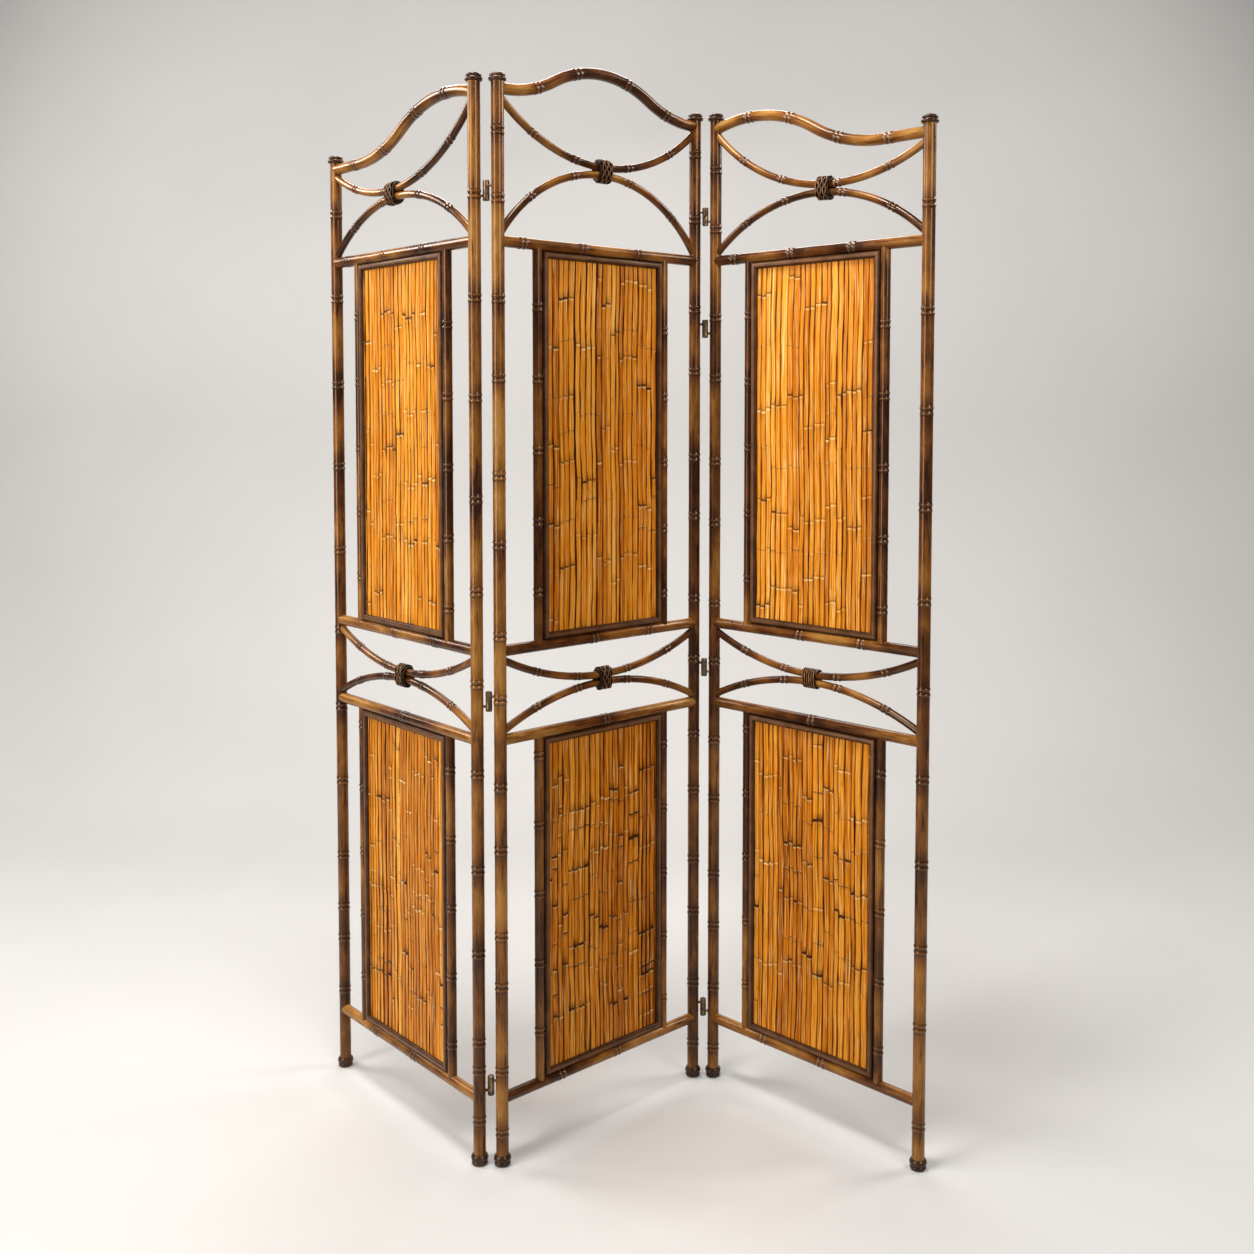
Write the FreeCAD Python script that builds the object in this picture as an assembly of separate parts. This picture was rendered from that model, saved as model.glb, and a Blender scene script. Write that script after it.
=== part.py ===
import FreeCAD, Part
import math
import os

# Folding screen of three panels: round bamboo poles, bent bamboo swags and arches lashed with
# rattan, split-bamboo infill in moulded frames, and lift-off pin hinges. Millimetres, +Z up,
# the middle panel along X with its front towards -Y, the left wing folded back, the right forward.

Vector = FreeCAD.Vector
UP = Vector(0, 0, 1)
BACK = Vector(0, 1, 0)

# Panels and how they stand
post_spacing = 448.0
hinged_post_height = 1790.0
free_post_drop = 69.0
left_fold_angle = 88.5
right_fold_angle = 93.0

# Poles
post_d = 21.0
rail_d = 19.0
bent_d = 13.0
stile_d = 16.0
pole_ridge = 0.9
pole_ridge_length = 10.0
pole_joint_margin = 6.0
seat_gap = 0.1
corner_gap = 0.4

# Straight rails, measured down from the caps and up from the feet
upper_head_drop = 267.0
upper_bay_height = 664.0
waist_height = 147.0
bottom_rail_rise = 94.0

# Top rails, measured down from the caps
middle_rail_gap = 0.6
middle_crown_rise = 55.6
side_crest_drop = 19.0
side_crest_inset = 80.0
side_dip_drop = 27.0
side_dip_inset = 88.0

# Bent arches, measured from their feet on the posts to their crowns
middle_arch_rise = 108.0
side_arch_rise = 80.0
waist_arch_rise = 50.0
lashed_gap = 0.3

# Rattan bindings
rattan_d = 4.2
binding_turns = 6
turn_gap = 0.5
binding_slack = 0.5

# Infill
stile_inset = 80.0
frame_gap = 0.1
moulding_width = 11.5
moulding_height = 6.0
moulding_edge = 1.2
mitre_gap = 0.1
reed_count = 24
reed_thickness = 4.2
reed_crown = 0.9
reed_gap = 0.2
reed_margin = 1.3

# Bamboo joints on the strips, shared by the strips split from one cane
strips_per_cane = 3
reed_joint_pitch = 118.0
reed_joint_shift = 71.0
reed_joint_margin = 12.0
reed_joint_width = 1.6
reed_joint_depth = 1.2

# Caps on the posts
cap_d = 29.0
cap_h = 14.5
cap_rim_h = 6.5
cap_rim_round = 1.6
cap_step = 1.8
cap_neck = 1.2

# Feet under the posts
foot_d = 29.0
foot_h = 18.0
foot_sole_d = 20.0
foot_ring_z = 7.0
foot_ring_d = 25.0
foot_lower_d = 27.0
foot_shoulder = 1.0

# Spigots that hold caps and feet in the pole ends
spigot_d = 9.0
spigot_length = 14.0
spigot_gap = 0.1

# Hinges
hinge_reach = 12.0
fold_gap = 0.4
knuckle_d = 11.0
knuckle_round = 1.6
hinge_height = 33.0
knuckle_gap = 0.3
pin_d = 4.0
pin_grip = 11.0
pin_press_gap = 0.01
pin_running_gap = 0.05
shank_d = 4.6
shank_grip = 7.0
shank_gap = 0.05
low_hinge_rise = 21.0
waist_hinge_rise = 64.0
high_hinge_rise = 80.0
extra_hinge_drop = 123.0

# Bamboo joints on the posts: height of the lowest one and the length between them
post_joints = {
    "left_outer_post": (65.0, 155.0),
    "left_inner_post": (35.0, 155.0),
    "middle_left_post": (72.0, 125.0),
    "middle_right_post": (60.0, 118.0),
    "right_inner_post": (40.0, 126.0),
    "right_outer_post": (70.0, 158.0),
}
rail_joint_pitch = 128.0
rail_first_joints = (45.0, 70.0, 96.0, 122.0)
stile_joint_pitch = 118.0
stile_first_joints = ((-1, 86.0), (1, 150.0))

# Bamboo joints on the bent poles, as shares of their length
bent_joint_shares = (0.17, 0.37, 0.62, 0.84)
path_steps = 401

# Worked out from the sizes above
post_r = post_d / 2
rail_r = rail_d / 2
bent_r = bent_d / 2
middle_rail_drop = cap_h + rail_r + middle_rail_gap
frame_inset = pole_ridge + frame_gap
stile_r = stile_d / 2
half_span = post_spacing / 2
clear_span = half_span - post_r
hinge_setback = max(cap_d, foot_d) / 2 + fold_gap
stile_x = half_span - stile_inset
free_post_height = hinged_post_height - free_post_drop
upper_head_z = hinged_post_height - upper_head_drop
upper_sill_z = upper_head_z - upper_bay_height
lower_head_z = upper_sill_z - waist_height
bottom_rail_z = foot_h + bottom_rail_rise
hinge_half = hinge_height / 2

# Heights of the hinges, tied to the rails near them
low_hinge_z = bottom_rail_z + low_hinge_rise
waist_hinge_z = lower_head_z + waist_hinge_rise
high_hinge_z = upper_head_z + high_hinge_rise
extra_hinge_z = upper_head_z - extra_hinge_drop
left_hinge_heights = (low_hinge_z, waist_hinge_z, high_hinge_z)
right_hinge_heights = (low_hinge_z, waist_hinge_z, extra_hinge_z, high_hinge_z)


def revolved(edges):
    """Solid of revolution about Z from a closed outline in the XZ plane."""
    return Part.Face(Part.Wire(edges)).revolve(Vector(), UP, 360)


def outline(points):
    """Closed run of straight edges through (radius, height) pairs."""
    corners = [Vector(r, 0, z) for r, z in points]
    return [Part.LineSegment(a, b).toShape() for a, b in zip(corners, corners[1:] + corners[:1])]


def arc_edge(a, b, c):
    """Arc through three points."""
    return Part.Arc(a, b, c).toShape()


def line_edge(a, b):
    """Straight edge between two points."""
    return Part.LineSegment(a, b).toShape()


def upright(length, radius, joints):
    """Round pole along Z, with the double ridge of a bamboo joint at each given height."""
    points = [(0, 0), (radius, 0)]
    crest = radius + pole_ridge
    for z in joints:
        for place in (z - pole_ridge_length / 2, z + pole_ridge_length / 2):
            points.append((radius, place - pole_ridge_length / 2))
            points.append((crest, place))
        points.append((radius, z + pole_ridge_length))
    cleaned = points + [(radius, length), (0, length)]
    return revolved(outline(cleaned))


def joint_places(first, pitch, length, kept_clear, clear_radius):
    """Heights of the bamboo joints on a pole, leaving out those where another piece meets it."""
    reach = clear_radius + pole_ridge_length + pole_joint_margin
    places = []
    z = first
    while z < length - reach:
        if z > reach and all(abs(z - other) > reach for other in kept_clear):
            places.append(z)
        z += pitch
    return places


def laid(pole, start, direction):
    """Pole along Z moved to start at a point and run in a direction."""
    moved = pole.copy()
    moved.Placement = FreeCAD.Placement(start, FreeCAD.Rotation(UP, direction))
    return moved


def rod(start, end, radius):
    """Plain round bar between two points."""
    return Part.makeCylinder(radius, (end - start).Length, start, end - start)


def post_cope(x):
    """What a post takes out of the end of a pole that butts on it."""
    return Part.makeCylinder(post_r + seat_gap, hinged_post_height, Vector(x, 0, 0))


def coped(pole):
    """Pole cut to a fish-mouth against both posts of its panel."""
    return pole.cut([post_cope(-half_span), post_cope(half_span)])


def swept(edges, radius):
    """Round pole along a smooth path of lines and arcs."""
    path = Part.Wire(edges)
    first = edges[0]
    start = first.valueAt(first.FirstParameter)
    heading = first.tangentAt(first.FirstParameter)
    shell = Part.BRepOffsetAPI.MakePipeShell(path)
    shell.add(Part.Wire(Part.makeCircle(radius, start, heading)))
    shell.build()
    shell.makeSolid()
    return shell.shape()


def ringed(pole, edges, radius):
    """Bent pole with the double ridge of a bamboo joint at its stations along the path."""
    low = radius - pole_ridge
    crest = radius + pole_ridge
    valley = radius + pole_ridge / 4
    core = radius / 2
    reach = pole_ridge_length
    rise = [(core, -reach), (low, -reach), (crest, -reach / 2), (valley, 0)]
    fall = [(crest, reach / 2), (low, reach), (core, reach)]
    ring = revolved(outline(rise + fall))
    steps = Part.Wire(edges).discretize(Number=path_steps)
    stations = [round(share * (path_steps - 1)) for share in bent_joint_shares]
    return pole.fuse([laid(ring, steps[i], steps[i + 1] - steps[i - 1]) for i in stations])


def point(x, z):
    """Point in the plane of a panel."""
    return Vector(x, 0, z)


class Bend:
    """Circular arc in the plane of a panel, kept as a centre, a radius and its two end angles."""

    def __init__(self, centre, radius, start, end):
        self.centre = centre
        self.radius = radius
        self.start = start
        self.end = end

    def at(self, angle):
        """Point of the arc at an angle from the X axis."""
        return self.centre + point(math.cos(angle), math.sin(angle)) * self.radius

    def pole(self, radius, overrun):
        """Round pole along the arc, run on past both ends."""
        turn = math.copysign(overrun / self.radius, self.end - self.start)
        first = self.start - turn
        last = self.end + turn
        heading = point(-math.sin(first), math.cos(first))
        disc = Part.Face(Part.Wire(Part.makeCircle(radius, self.at(first), heading)))
        return disc.revolve(self.centre, -BACK, math.degrees(last - first))


def arch_bend(foot_z, rise):
    """Arch between the posts, from feet at one height to a crown in the middle."""
    radius = (clear_span ** 2 + rise ** 2) / (2 * rise)
    centre = point(0, foot_z + rise - radius)
    half = math.atan2(clear_span, radius - rise)
    return Bend(centre, radius, math.pi / 2 + half, math.pi / 2 - half)


def swag_bend(left_end, right_end, arch, spacing):
    """Swag through two ends on the posts that comes down to lie on the arch at one place."""
    middle = (left_end + right_end) * 0.5
    chord = right_end - left_end
    half = chord.Length / 2
    normal = point(-chord.z, chord.x).normalize()
    reach = arch.radius + spacing
    away = middle - arch.centre
    slope = 2 * normal.dot(away)
    rest = away.dot(away) - half ** 2 - reach ** 2
    a = slope ** 2 - 4 * reach ** 2
    b = 2 * slope * rest
    c = rest ** 2 - 4 * reach ** 2 * half ** 2
    height = (math.sqrt(b ** 2 - 4 * a * c) - b) / (2 * a)
    centre = middle + normal * height
    radius = math.hypot(half, height)
    start = math.atan2(left_end.z - centre.z, left_end.x - centre.x)
    end = math.atan2(right_end.z - centre.z, right_end.x - centre.x)
    return Bend(centre, radius, start, end)


def corner_drop(bend_angle, rail_half):
    """Least height between a rail and a bent pole where both meet a post."""
    return rail_half + bent_r / math.cos(bend_angle) + corner_gap


def arch_foot(rail_z, rise):
    """Height on the posts where the feet of an arch stand clear of the rail below."""
    return rail_z + corner_drop(2 * math.atan2(rise, clear_span), rail_r)


def settled_swag(left_rail, right_rail, arch):
    """Swag hung just below its rail at both posts, found by letting its ends settle."""
    left_slope = right_slope = math.pi / 6
    for _ in range(12):
        left_end = point(-clear_span, left_rail.z - corner_drop(left_slope, left_rail.half))
        right_end = point(clear_span, right_rail.z - corner_drop(right_slope, right_rail.half))
        bend = swag_bend(left_end, right_end, arch, bent_d + lashed_gap)
        left_slope = abs(bend.start + math.pi / 2)
        right_slope = abs(bend.end + math.pi / 2)
    return bend


class RailEnd:
    """Where the centre line of a rail meets a post, and half its depth there."""

    def __init__(self, z, slope=0.0):
        self.z = z
        self.half = rail_r / math.cos(slope)


def bent_pole(bend):
    """Bent pole cut to fit the posts at both ends."""
    steepest = max(abs(math.cos(bend.start)), abs(math.cos(bend.end)))
    overrun = post_r / math.sqrt(1 - steepest ** 2)
    line = arc_edge(bend.at(bend.start), bend.at((bend.start + bend.end) / 2), bend.at(bend.end))
    return ringed(coped(bend.pole(bent_r, overrun)), [line], bent_r)


def middle_top_rail():
    """Camel-back rail: level at the posts, with a crown made of equal arcs; and its ends."""
    end_z = hinged_post_height - middle_rail_drop
    half_turn = math.atan2(middle_crown_rise, clear_span)
    radius = clear_span / (2 * math.sin(2 * half_turn))
    crown_z = end_z + middle_crown_rise
    crown_centre = point(0, crown_z - radius)
    turn = 2 * half_turn
    shoulder = point(radius * math.sin(turn), crown_z - radius + radius * math.cos(turn))
    flank_centre = point(clear_span, end_z + radius)
    flank = flank_centre + point(-math.sin(half_turn), -math.cos(half_turn)) * radius
    mirrored = [point(-p.x, p.z) for p in (shoulder, flank, point(clear_span, end_z))]
    edges = [
        line_edge(point(-half_span, end_z), mirrored[2]),
        arc_edge(mirrored[2], mirrored[1], mirrored[0]),
        arc_edge(mirrored[0], crown_centre + UP * radius, shoulder),
        arc_edge(shoulder, flank, point(clear_span, end_z)),
        line_edge(point(clear_span, end_z), point(half_span, end_z)),
    ]
    rail = ringed(coped(swept(edges, rail_r)), edges, rail_r)
    return rail, RailEnd(end_z), RailEnd(end_z)


def side_top_rail(outer):
    """Ogee rail of a wing, crest by the hinged post and dip by the free one; and its ends."""
    crest = point(-outer * (half_span - side_crest_inset), hinged_post_height - side_crest_drop)
    dip = point(outer * (half_span - side_dip_inset), free_post_height - side_dip_drop)
    run = abs(dip.x - crest.x)
    turn = 2 * math.atan2(crest.z - dip.z, run)
    radius = run / (2 * math.sin(turn))
    crest_centre = crest - UP * radius
    dip_centre = dip + UP * radius
    inner_turn = math.asin(side_crest_inset / radius)
    post_turn = math.asin((side_crest_inset - post_r) / radius)

    def over(angle):
        return crest_centre + point(outer * math.sin(angle), math.cos(angle)) * radius

    def under(angle):
        return dip_centre + point(-outer * math.sin(angle), -math.cos(angle)) * radius

    edges = [
        arc_edge(over(-inner_turn), over((turn - inner_turn) / 2), over(turn)),
        arc_edge(under(turn), under(turn / 2), dip),
        line_edge(dip, point(outer * half_span, dip.z)),
    ]
    hinged_end = RailEnd(over(-post_turn).z, post_turn)
    rail = ringed(coped(swept(edges, rail_r)), edges, rail_r)
    return rail, hinged_end, RailEnd(dip.z)


def biarc(start, start_heading, end, end_heading):
    """Two arcs that leave one point and reach another with the given headings."""
    across = end - start
    both = start_heading + end_heading
    spread = 2 * (1 - start_heading.dot(end_heading))
    lean = across.dot(both)
    reach = (math.sqrt(lean ** 2 + spread * across.dot(across)) - lean) / spread
    near = start + start_heading * reach
    far = end - end_heading * reach
    meet = (near + far) * 0.5
    arcs = []
    for a, corner, b in ((start, near, meet), (meet, far, end)):
        weight = (b - a).Length / (2 * reach)
        arcs.append(arc_edge(a, (a + corner * (2 * weight) + b) * (1 / (2 + 2 * weight)), b))
    return arcs


def least_self_gap(path, diameter):
    """Least clearance of a wound tube to its own turns, measured on points of its centre line."""
    step = diameter / 4
    places = path.discretize(Distance=step)
    skip = int(3 * diameter / step)
    near = min(a.distanceToPoint(b) for i, a in enumerate(places) for b in places[i + skip:])
    return near - diameter


def binding(upper, lower):
    """Rattan wound round the swag and the arch where they meet, as one unbroken strand."""
    out = (upper.centre - lower.centre).normalize()
    along = point(out.z, -out.x)
    middle = lower.centre + out * (lower.radius + (bent_d + lashed_gap) / 2)
    half_gap = (bent_d + lashed_gap) / 2
    loop_r = bent_r + binding_slack + rattan_d / 2
    pitch = rattan_d + turn_gap
    loop_length = 2 * math.pi * loop_r + 4 * half_gap
    lead = pitch / loop_length
    straight_lead = 2 * half_gap * lead
    turn_lead = math.pi * loop_r * lead
    rise = (out + along * lead).normalize()
    fall = (along * lead - out).normalize()
    travel = -pitch * (binding_turns + 0.5) / 2

    def place(side, end):
        return middle + along * travel + BACK * (side * loop_r) + out * (end * half_gap)

    edges = []
    here = place(1, -1)
    for half_turn in range(2 * binding_turns + 1):
        side = 1 if half_turn % 2 == 0 else -1
        heading = rise if side == 1 else fall
        travel += straight_lead
        top = place(side, side)
        edges.append(line_edge(here, top))
        if half_turn == 2 * binding_turns:
            break
        travel += turn_lead
        here = place(-side, side)
        edges += biarc(top, heading, here, fall if side == 1 else rise)
    print("binding turns", binding_turns, "least gap %.2f" % least_self_gap(Part.Wire(edges), rattan_d))
    return swept(edges, rattan_d / 2)


def straight_rail(z, shift, meets):
    """Level rail between the posts, its bamboo joints kept away from the pieces that meet it."""
    clear = [half_span + x for x in meets]
    joints = joint_places(shift, rail_joint_pitch, post_spacing, clear, stile_r)
    rail = laid(upright(post_spacing, rail_r, joints), point(-half_span, z), Vector(1, 0, 0))
    return coped(rail)


def stile(x, low_z, high_z, shift):
    """Upright pole beside the infill, coped to the rails above and below."""
    length = high_z - low_z
    joints = joint_places(shift, stile_joint_pitch, length, (), rail_r)
    pole = laid(upright(length, stile_r, joints), point(x, low_z), UP)
    copes = [rod(point(-half_span, z), point(half_span, z), rail_r + seat_gap) for z in (low_z, high_z)]
    return pole.cut(copes)


def moulding_section(depth_sign):
    """Half-round strip with a narrow flat edge, its back on the reeds, running along X."""
    back = depth_sign * (reed_thickness / 2 + seat_gap)
    edge = back + depth_sign * moulding_edge
    crest = back + depth_sign * moulding_height
    corners = [Vector(0, back, 0), Vector(0, back, moulding_width)]
    shoulders = [Vector(0, edge, moulding_width), Vector(0, edge, 0)]
    edges = [
        line_edge(corners[0], corners[1]),
        line_edge(corners[1], shoulders[0]),
        arc_edge(shoulders[0], Vector(0, crest, moulding_width / 2), shoulders[1]),
        line_edge(shoulders[1], corners[0]),
    ]
    return Part.Face(Part.Wire(edges))


def moulding_strip(length, depth_sign):
    """One mitred strip along X from its outer edge at Z 0, centred on X 0."""
    bar = moulding_section(depth_sign).extrude(Vector(length, 0, 0))
    bar.translate(Vector(-length / 2, 0, 0))
    outer = length / 2 - mitre_gap
    inner = outer - moulding_width
    plan = [(-outer, 0), (outer, 0), (inner, moulding_width), (-inner, moulding_width)]
    corners = [Vector(x, -post_d, z) for x, z in plan]
    wedge = Part.Face(Part.makePolygon(corners + corners[:1])).extrude(BACK * (2 * post_d))
    return bar.common(wedge)


def moulding_frame(low_z, high_z):
    """Mitred half-round frames on the front and the back of one infill."""
    width = 2 * (stile_x - stile_r - frame_inset)
    low = low_z + rail_r + frame_inset
    high = high_z - rail_r - frame_inset
    centre = point(0, (low + high) / 2)
    pieces = []
    for depth_sign in (-1, 1):
        for turn, length, reach in ((0, width, high - low), (90, high - low, width),
                                    (180, width, high - low), (270, high - low, width)):
            strip = moulding_strip(length, depth_sign)
            strip.translate(point(0, -reach / 2))
            strip.rotate(Vector(), BACK, turn)
            strip.translate(centre)
            pieces.append(strip)
    return pieces


def cane_joints(cane, length):
    """Heights of the bamboo joints on the strips split from one cane."""
    first = (cane + 1) * reed_joint_shift % reed_joint_pitch + reed_joint_margin
    count = int((length - reed_joint_margin - first) // reed_joint_pitch) + 1
    return [first + number * reed_joint_pitch for number in range(count)]


def joint_notch(x, z, half):
    """What a bamboo joint leaves out of the rind of a strip."""
    corner = Vector(x - half, -reed_thickness, z - reed_joint_width / 2)
    return Part.makeBox(2 * half, reed_thickness / 2 + reed_joint_depth, reed_joint_width, corner)


def reeds(low_z, high_z):
    """Split-bamboo strips side by side, rind to the front, tucked under the mouldings."""
    width = 2 * (stile_x - stile_r - frame_inset - reed_margin)
    pitch = width / reed_count
    half = (pitch - reed_gap) / 2
    low = low_z + rail_r + frame_inset + reed_margin
    length = high_z - rail_r - frame_inset - reed_margin - low
    back = reed_thickness / 2
    shoulder = reed_crown - back
    strips = []
    for number in range(reed_count):
        x = (number + 0.5) * pitch - width / 2
        left_back = Vector(x - half, back, low)
        right_back = Vector(x + half, back, low)
        left_shoulder = Vector(x - half, shoulder, low)
        right_shoulder = Vector(x + half, shoulder, low)
        edges = [
            line_edge(left_back, right_back),
            line_edge(right_back, right_shoulder),
            arc_edge(right_shoulder, Vector(x, -back, low), left_shoulder),
            line_edge(left_shoulder, left_back),
        ]
        joints = cane_joints(number // strips_per_cane, length)
        strip = Part.Face(Part.Wire(edges)).extrude(UP * length)
        strips.append(strip.cut([joint_notch(x, low + z, half) for z in joints]))
    return strips


def cap():
    """Turned cap of two tiers with its spigot, seated at Z 0."""
    rim = cap_d / 2
    tier = rim - cap_step
    shoulder_z = cap_rim_h + cap_neck + cap_rim_round
    dome_rise = cap_h - shoulder_z
    dome_r = (tier ** 2 + dome_rise ** 2) / (2 * dome_rise)
    dome_turn = math.atan2(tier, dome_r - dome_rise) / 2
    corners = {
        "axis": point(0, 0),
        "seat": point(rim - cap_rim_round, 0),
        "rim": point(rim, cap_rim_h / 2),
        "rim_top": point(rim - cap_rim_round, cap_rim_h),
        "neck": point(tier - cap_neck, cap_rim_h),
        "tier": point(tier, cap_rim_h + cap_neck),
        "shoulder": point(tier, shoulder_z),
        "dome": point(dome_r * math.sin(dome_turn), cap_h - dome_r * (1 - math.cos(dome_turn))),
        "top": point(0, cap_h),
    }
    edges = [
        line_edge(corners["axis"], corners["seat"]),
        arc_edge(corners["seat"], corners["rim"], corners["rim_top"]),
        line_edge(corners["rim_top"], corners["neck"]),
        line_edge(corners["neck"], corners["tier"]),
        line_edge(corners["tier"], corners["shoulder"]),
        arc_edge(corners["shoulder"], corners["dome"], corners["top"]),
        line_edge(corners["top"], corners["axis"]),
    ]
    return revolved(edges).fuse(rod(point(0, 0), point(0, -spigot_length), spigot_d / 2))


def foot():
    """Turned foot with a flat sole, a ring round its middle and a spigot above, sole at Z 0."""
    ring = foot_ring_d / 2
    shoulder = post_r + foot_shoulder
    upper_z = (foot_ring_z + foot_h) / 2
    sole = point(foot_sole_d / 2, 0)
    edges = [
        line_edge(point(0, 0), sole),
        arc_edge(sole, point(foot_lower_d / 2, foot_ring_z / 2), point(ring, foot_ring_z)),
        arc_edge(point(ring, foot_ring_z), point(foot_d / 2, upper_z), point(shoulder, foot_h)),
        line_edge(point(shoulder, foot_h), point(0, foot_h)),
        line_edge(point(0, foot_h), point(0, 0)),
    ]
    return revolved(edges).fuse(rod(point(0, foot_h), point(0, foot_h + spigot_length), spigot_d / 2))


def post(name, x, height, hinge_heights, hinge_side):
    """Upright post with its ends bored for the spigots and side holes for the hinge shanks."""
    length = height - foot_h - cap_h
    first, pitch = post_joints[name]
    top_rail_z = height - middle_rail_drop
    met = [upper_head_z, upper_sill_z, lower_head_z, bottom_rail_z, top_rail_z]
    met += [arch_foot(upper_head_z, middle_arch_rise), arch_foot(lower_head_z, waist_arch_rise)]
    met += [upper_sill_z - rail_d, top_rail_z - rail_d, top_rail_z - 2 * rail_d]
    met += [z + side * hinge_half / 2 for z in hinge_heights for side in (-1, 1)]
    joints = joint_places(first - foot_h, pitch, length, [z - foot_h for z in met], rail_r)
    body = upright(length, post_r, joints)
    bore_r = spigot_d / 2 + spigot_gap
    bore_depth = spigot_length + spigot_gap
    cuts = [rod(point(0, 0), point(0, bore_depth), bore_r)]
    cuts.append(rod(point(0, length - bore_depth), point(0, length), bore_r))
    if hinge_side is not None:
        outward = Vector(math.copysign(hinge_reach, x), hinge_side.depth, 0).normalize()
        for z in hinge_heights:
            level = UP * (z + hinge_side.leaf * hinge_half / 2 - foot_h)
            inner = level + outward * (post_r - shank_grip - shank_gap)
            cuts.append(rod(inner, level + outward * post_d, shank_d / 2 + shank_gap))
    body = body.cut(cuts)
    body.translate(point(x, foot_h))
    return body


class HingeSide:
    """How a hinge leaf sits on its post: depth of the pin from the post line, upper or lower leaf."""

    def __init__(self, depth, leaf):
        self.depth = depth
        self.leaf = leaf


def knuckle(x, side, z):
    """One hinge leaf: a bored barrel on the pin line with a shank into its post."""
    pin_line = Vector(math.copysign(half_span + hinge_reach, x), side.depth, z)
    barrel_r = knuckle_d / 2
    length = hinge_half - knuckle_gap / 2
    flat_z = knuckle_gap / 2
    gap = pin_running_gap if side.leaf > 0 else pin_press_gap
    end_z = flat_z + length
    round_start = point(barrel_r, end_z - knuckle_round)
    round_end = point(barrel_r - knuckle_round, end_z)
    round_middle = point(round_end.x, round_start.z) + point(1, 1).normalize() * knuckle_round
    edges = [
        line_edge(point(0, flat_z), point(barrel_r, flat_z)),
        line_edge(point(barrel_r, flat_z), round_start),
        arc_edge(round_start, round_middle, round_end),
        line_edge(round_end, point(0, end_z)),
        line_edge(point(0, end_z), point(0, flat_z)),
    ]
    barrel = revolved(edges)
    if side.leaf < 0:
        barrel.rotate(Vector(), Vector(1, 0, 0), 180)
    barrel.translate(pin_line)
    inward = Vector(math.copysign(half_span, x), 0, z) - pin_line
    to_post = inward.Length
    inward = inward.normalize()
    level = pin_line + UP * (side.leaf * hinge_half / 2)
    shank = rod(level, level + inward * (to_post - post_r + shank_grip), shank_d / 2)
    bore = rod(pin_line, pin_line + UP * (side.leaf * (pin_grip + knuckle_gap)), pin_d / 2 + gap)
    return barrel.fuse(shank).cut(bore)


def hinge_pin(x, side, z):
    """Plain pin held in the lower knuckle and turning in the upper one."""
    centre = Vector(math.copysign(half_span + hinge_reach, x), side.depth, z)
    return rod(centre - UP * pin_grip, centre + UP * pin_grip, pin_d / 2)


def infill_and_frame(name, hand):
    """Every piece of one panel apart from its posts, in the panel's own frame."""
    if hand == 0:
        top_rail, left_end, right_end = middle_top_rail()
        upper_rise = middle_arch_rise
    else:
        top_rail, hinged_end, free_end = side_top_rail(hand)
        left_end, right_end = (hinged_end, free_end) if hand > 0 else (free_end, hinged_end)
        upper_rise = side_arch_rise
    upper_arch = arch_bend(arch_foot(upper_head_z, upper_rise), upper_rise)
    waist_arch = arch_bend(arch_foot(lower_head_z, waist_arch_rise), waist_arch_rise)
    upper_swag = settled_swag(left_end, right_end, upper_arch)
    waist_swag = settled_swag(RailEnd(upper_sill_z), RailEnd(upper_sill_z), waist_arch)
    stile_lines = (-stile_x, stile_x)
    bays = ((upper_sill_z, upper_head_z), (bottom_rail_z, lower_head_z))
    rails = {
        "upper_head_rail": upper_head_z,
        "upper_sill_rail": upper_sill_z,
        "lower_head_rail": lower_head_z,
        "bottom_rail": bottom_rail_z,
    }
    pieces = {name + "_top_rail": [top_rail]}
    for (rail, z), first in zip(rails.items(), rail_first_joints):
        pieces[name + "_" + rail] = [straight_rail(z, first, stile_lines)]
    pieces[name + "_upper_swag"] = [bent_pole(upper_swag)]
    pieces[name + "_upper_arch"] = [bent_pole(upper_arch)]
    pieces[name + "_middle_swag"] = [bent_pole(waist_swag)]
    pieces[name + "_middle_arch"] = [bent_pole(waist_arch)]
    pieces[name + "_bindings"] = [binding(upper_swag, upper_arch), binding(waist_swag, waist_arch)]
    pieces[name + "_stiles"] = [
        stile(side * stile_x, low, high, first) for low, high in bays for side, first in stile_first_joints
    ]
    pieces[name + "_mouldings"] = [strip for low, high in bays for strip in moulding_frame(low, high)]
    pieces[name + "_upper_reeds"] = reeds(*bays[0])
    pieces[name + "_lower_reeds"] = reeds(*bays[1])
    return pieces


def end_pieces(name, ends):
    """Caps and feet of one panel, for its two posts given as (place, height)."""
    caps = []
    feet = []
    for x, height in ends:
        top = cap()
        top.translate(point(x, height - cap_h))
        caps.append(top)
        bottom = foot()
        bottom.translate(point(x, 0))
        feet.append(bottom)
    return {name + "_caps": caps, name + "_feet": feet}


def wing_placement(pin_line, own_pin_line, fold_angle):
    """Place of a wing that hangs on a pin line of the middle panel at an included angle."""
    turn = FreeCAD.Rotation(UP, fold_angle - 180)
    return FreeCAD.Placement(pin_line - turn.multVec(own_pin_line), turn)


# Where the hinges sit: behind the panels on the left joint, before them on the right one
behind_upper = HingeSide(hinge_setback, 1)
behind_lower = HingeSide(hinge_setback, -1)
before_upper = HingeSide(-hinge_setback, 1)
before_lower = HingeSide(-hinge_setback, -1)
pin_x = half_span + hinge_reach
left_pin_line = Vector(-pin_x, hinge_setback, 0)
right_pin_line = Vector(pin_x, -hinge_setback, 0)
places = {
    "left": wing_placement(left_pin_line, Vector(pin_x, hinge_setback, 0), left_fold_angle),
    "middle": FreeCAD.Placement(),
    "right": wing_placement(right_pin_line, Vector(-pin_x, -hinge_setback, 0), right_fold_angle),
}

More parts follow.
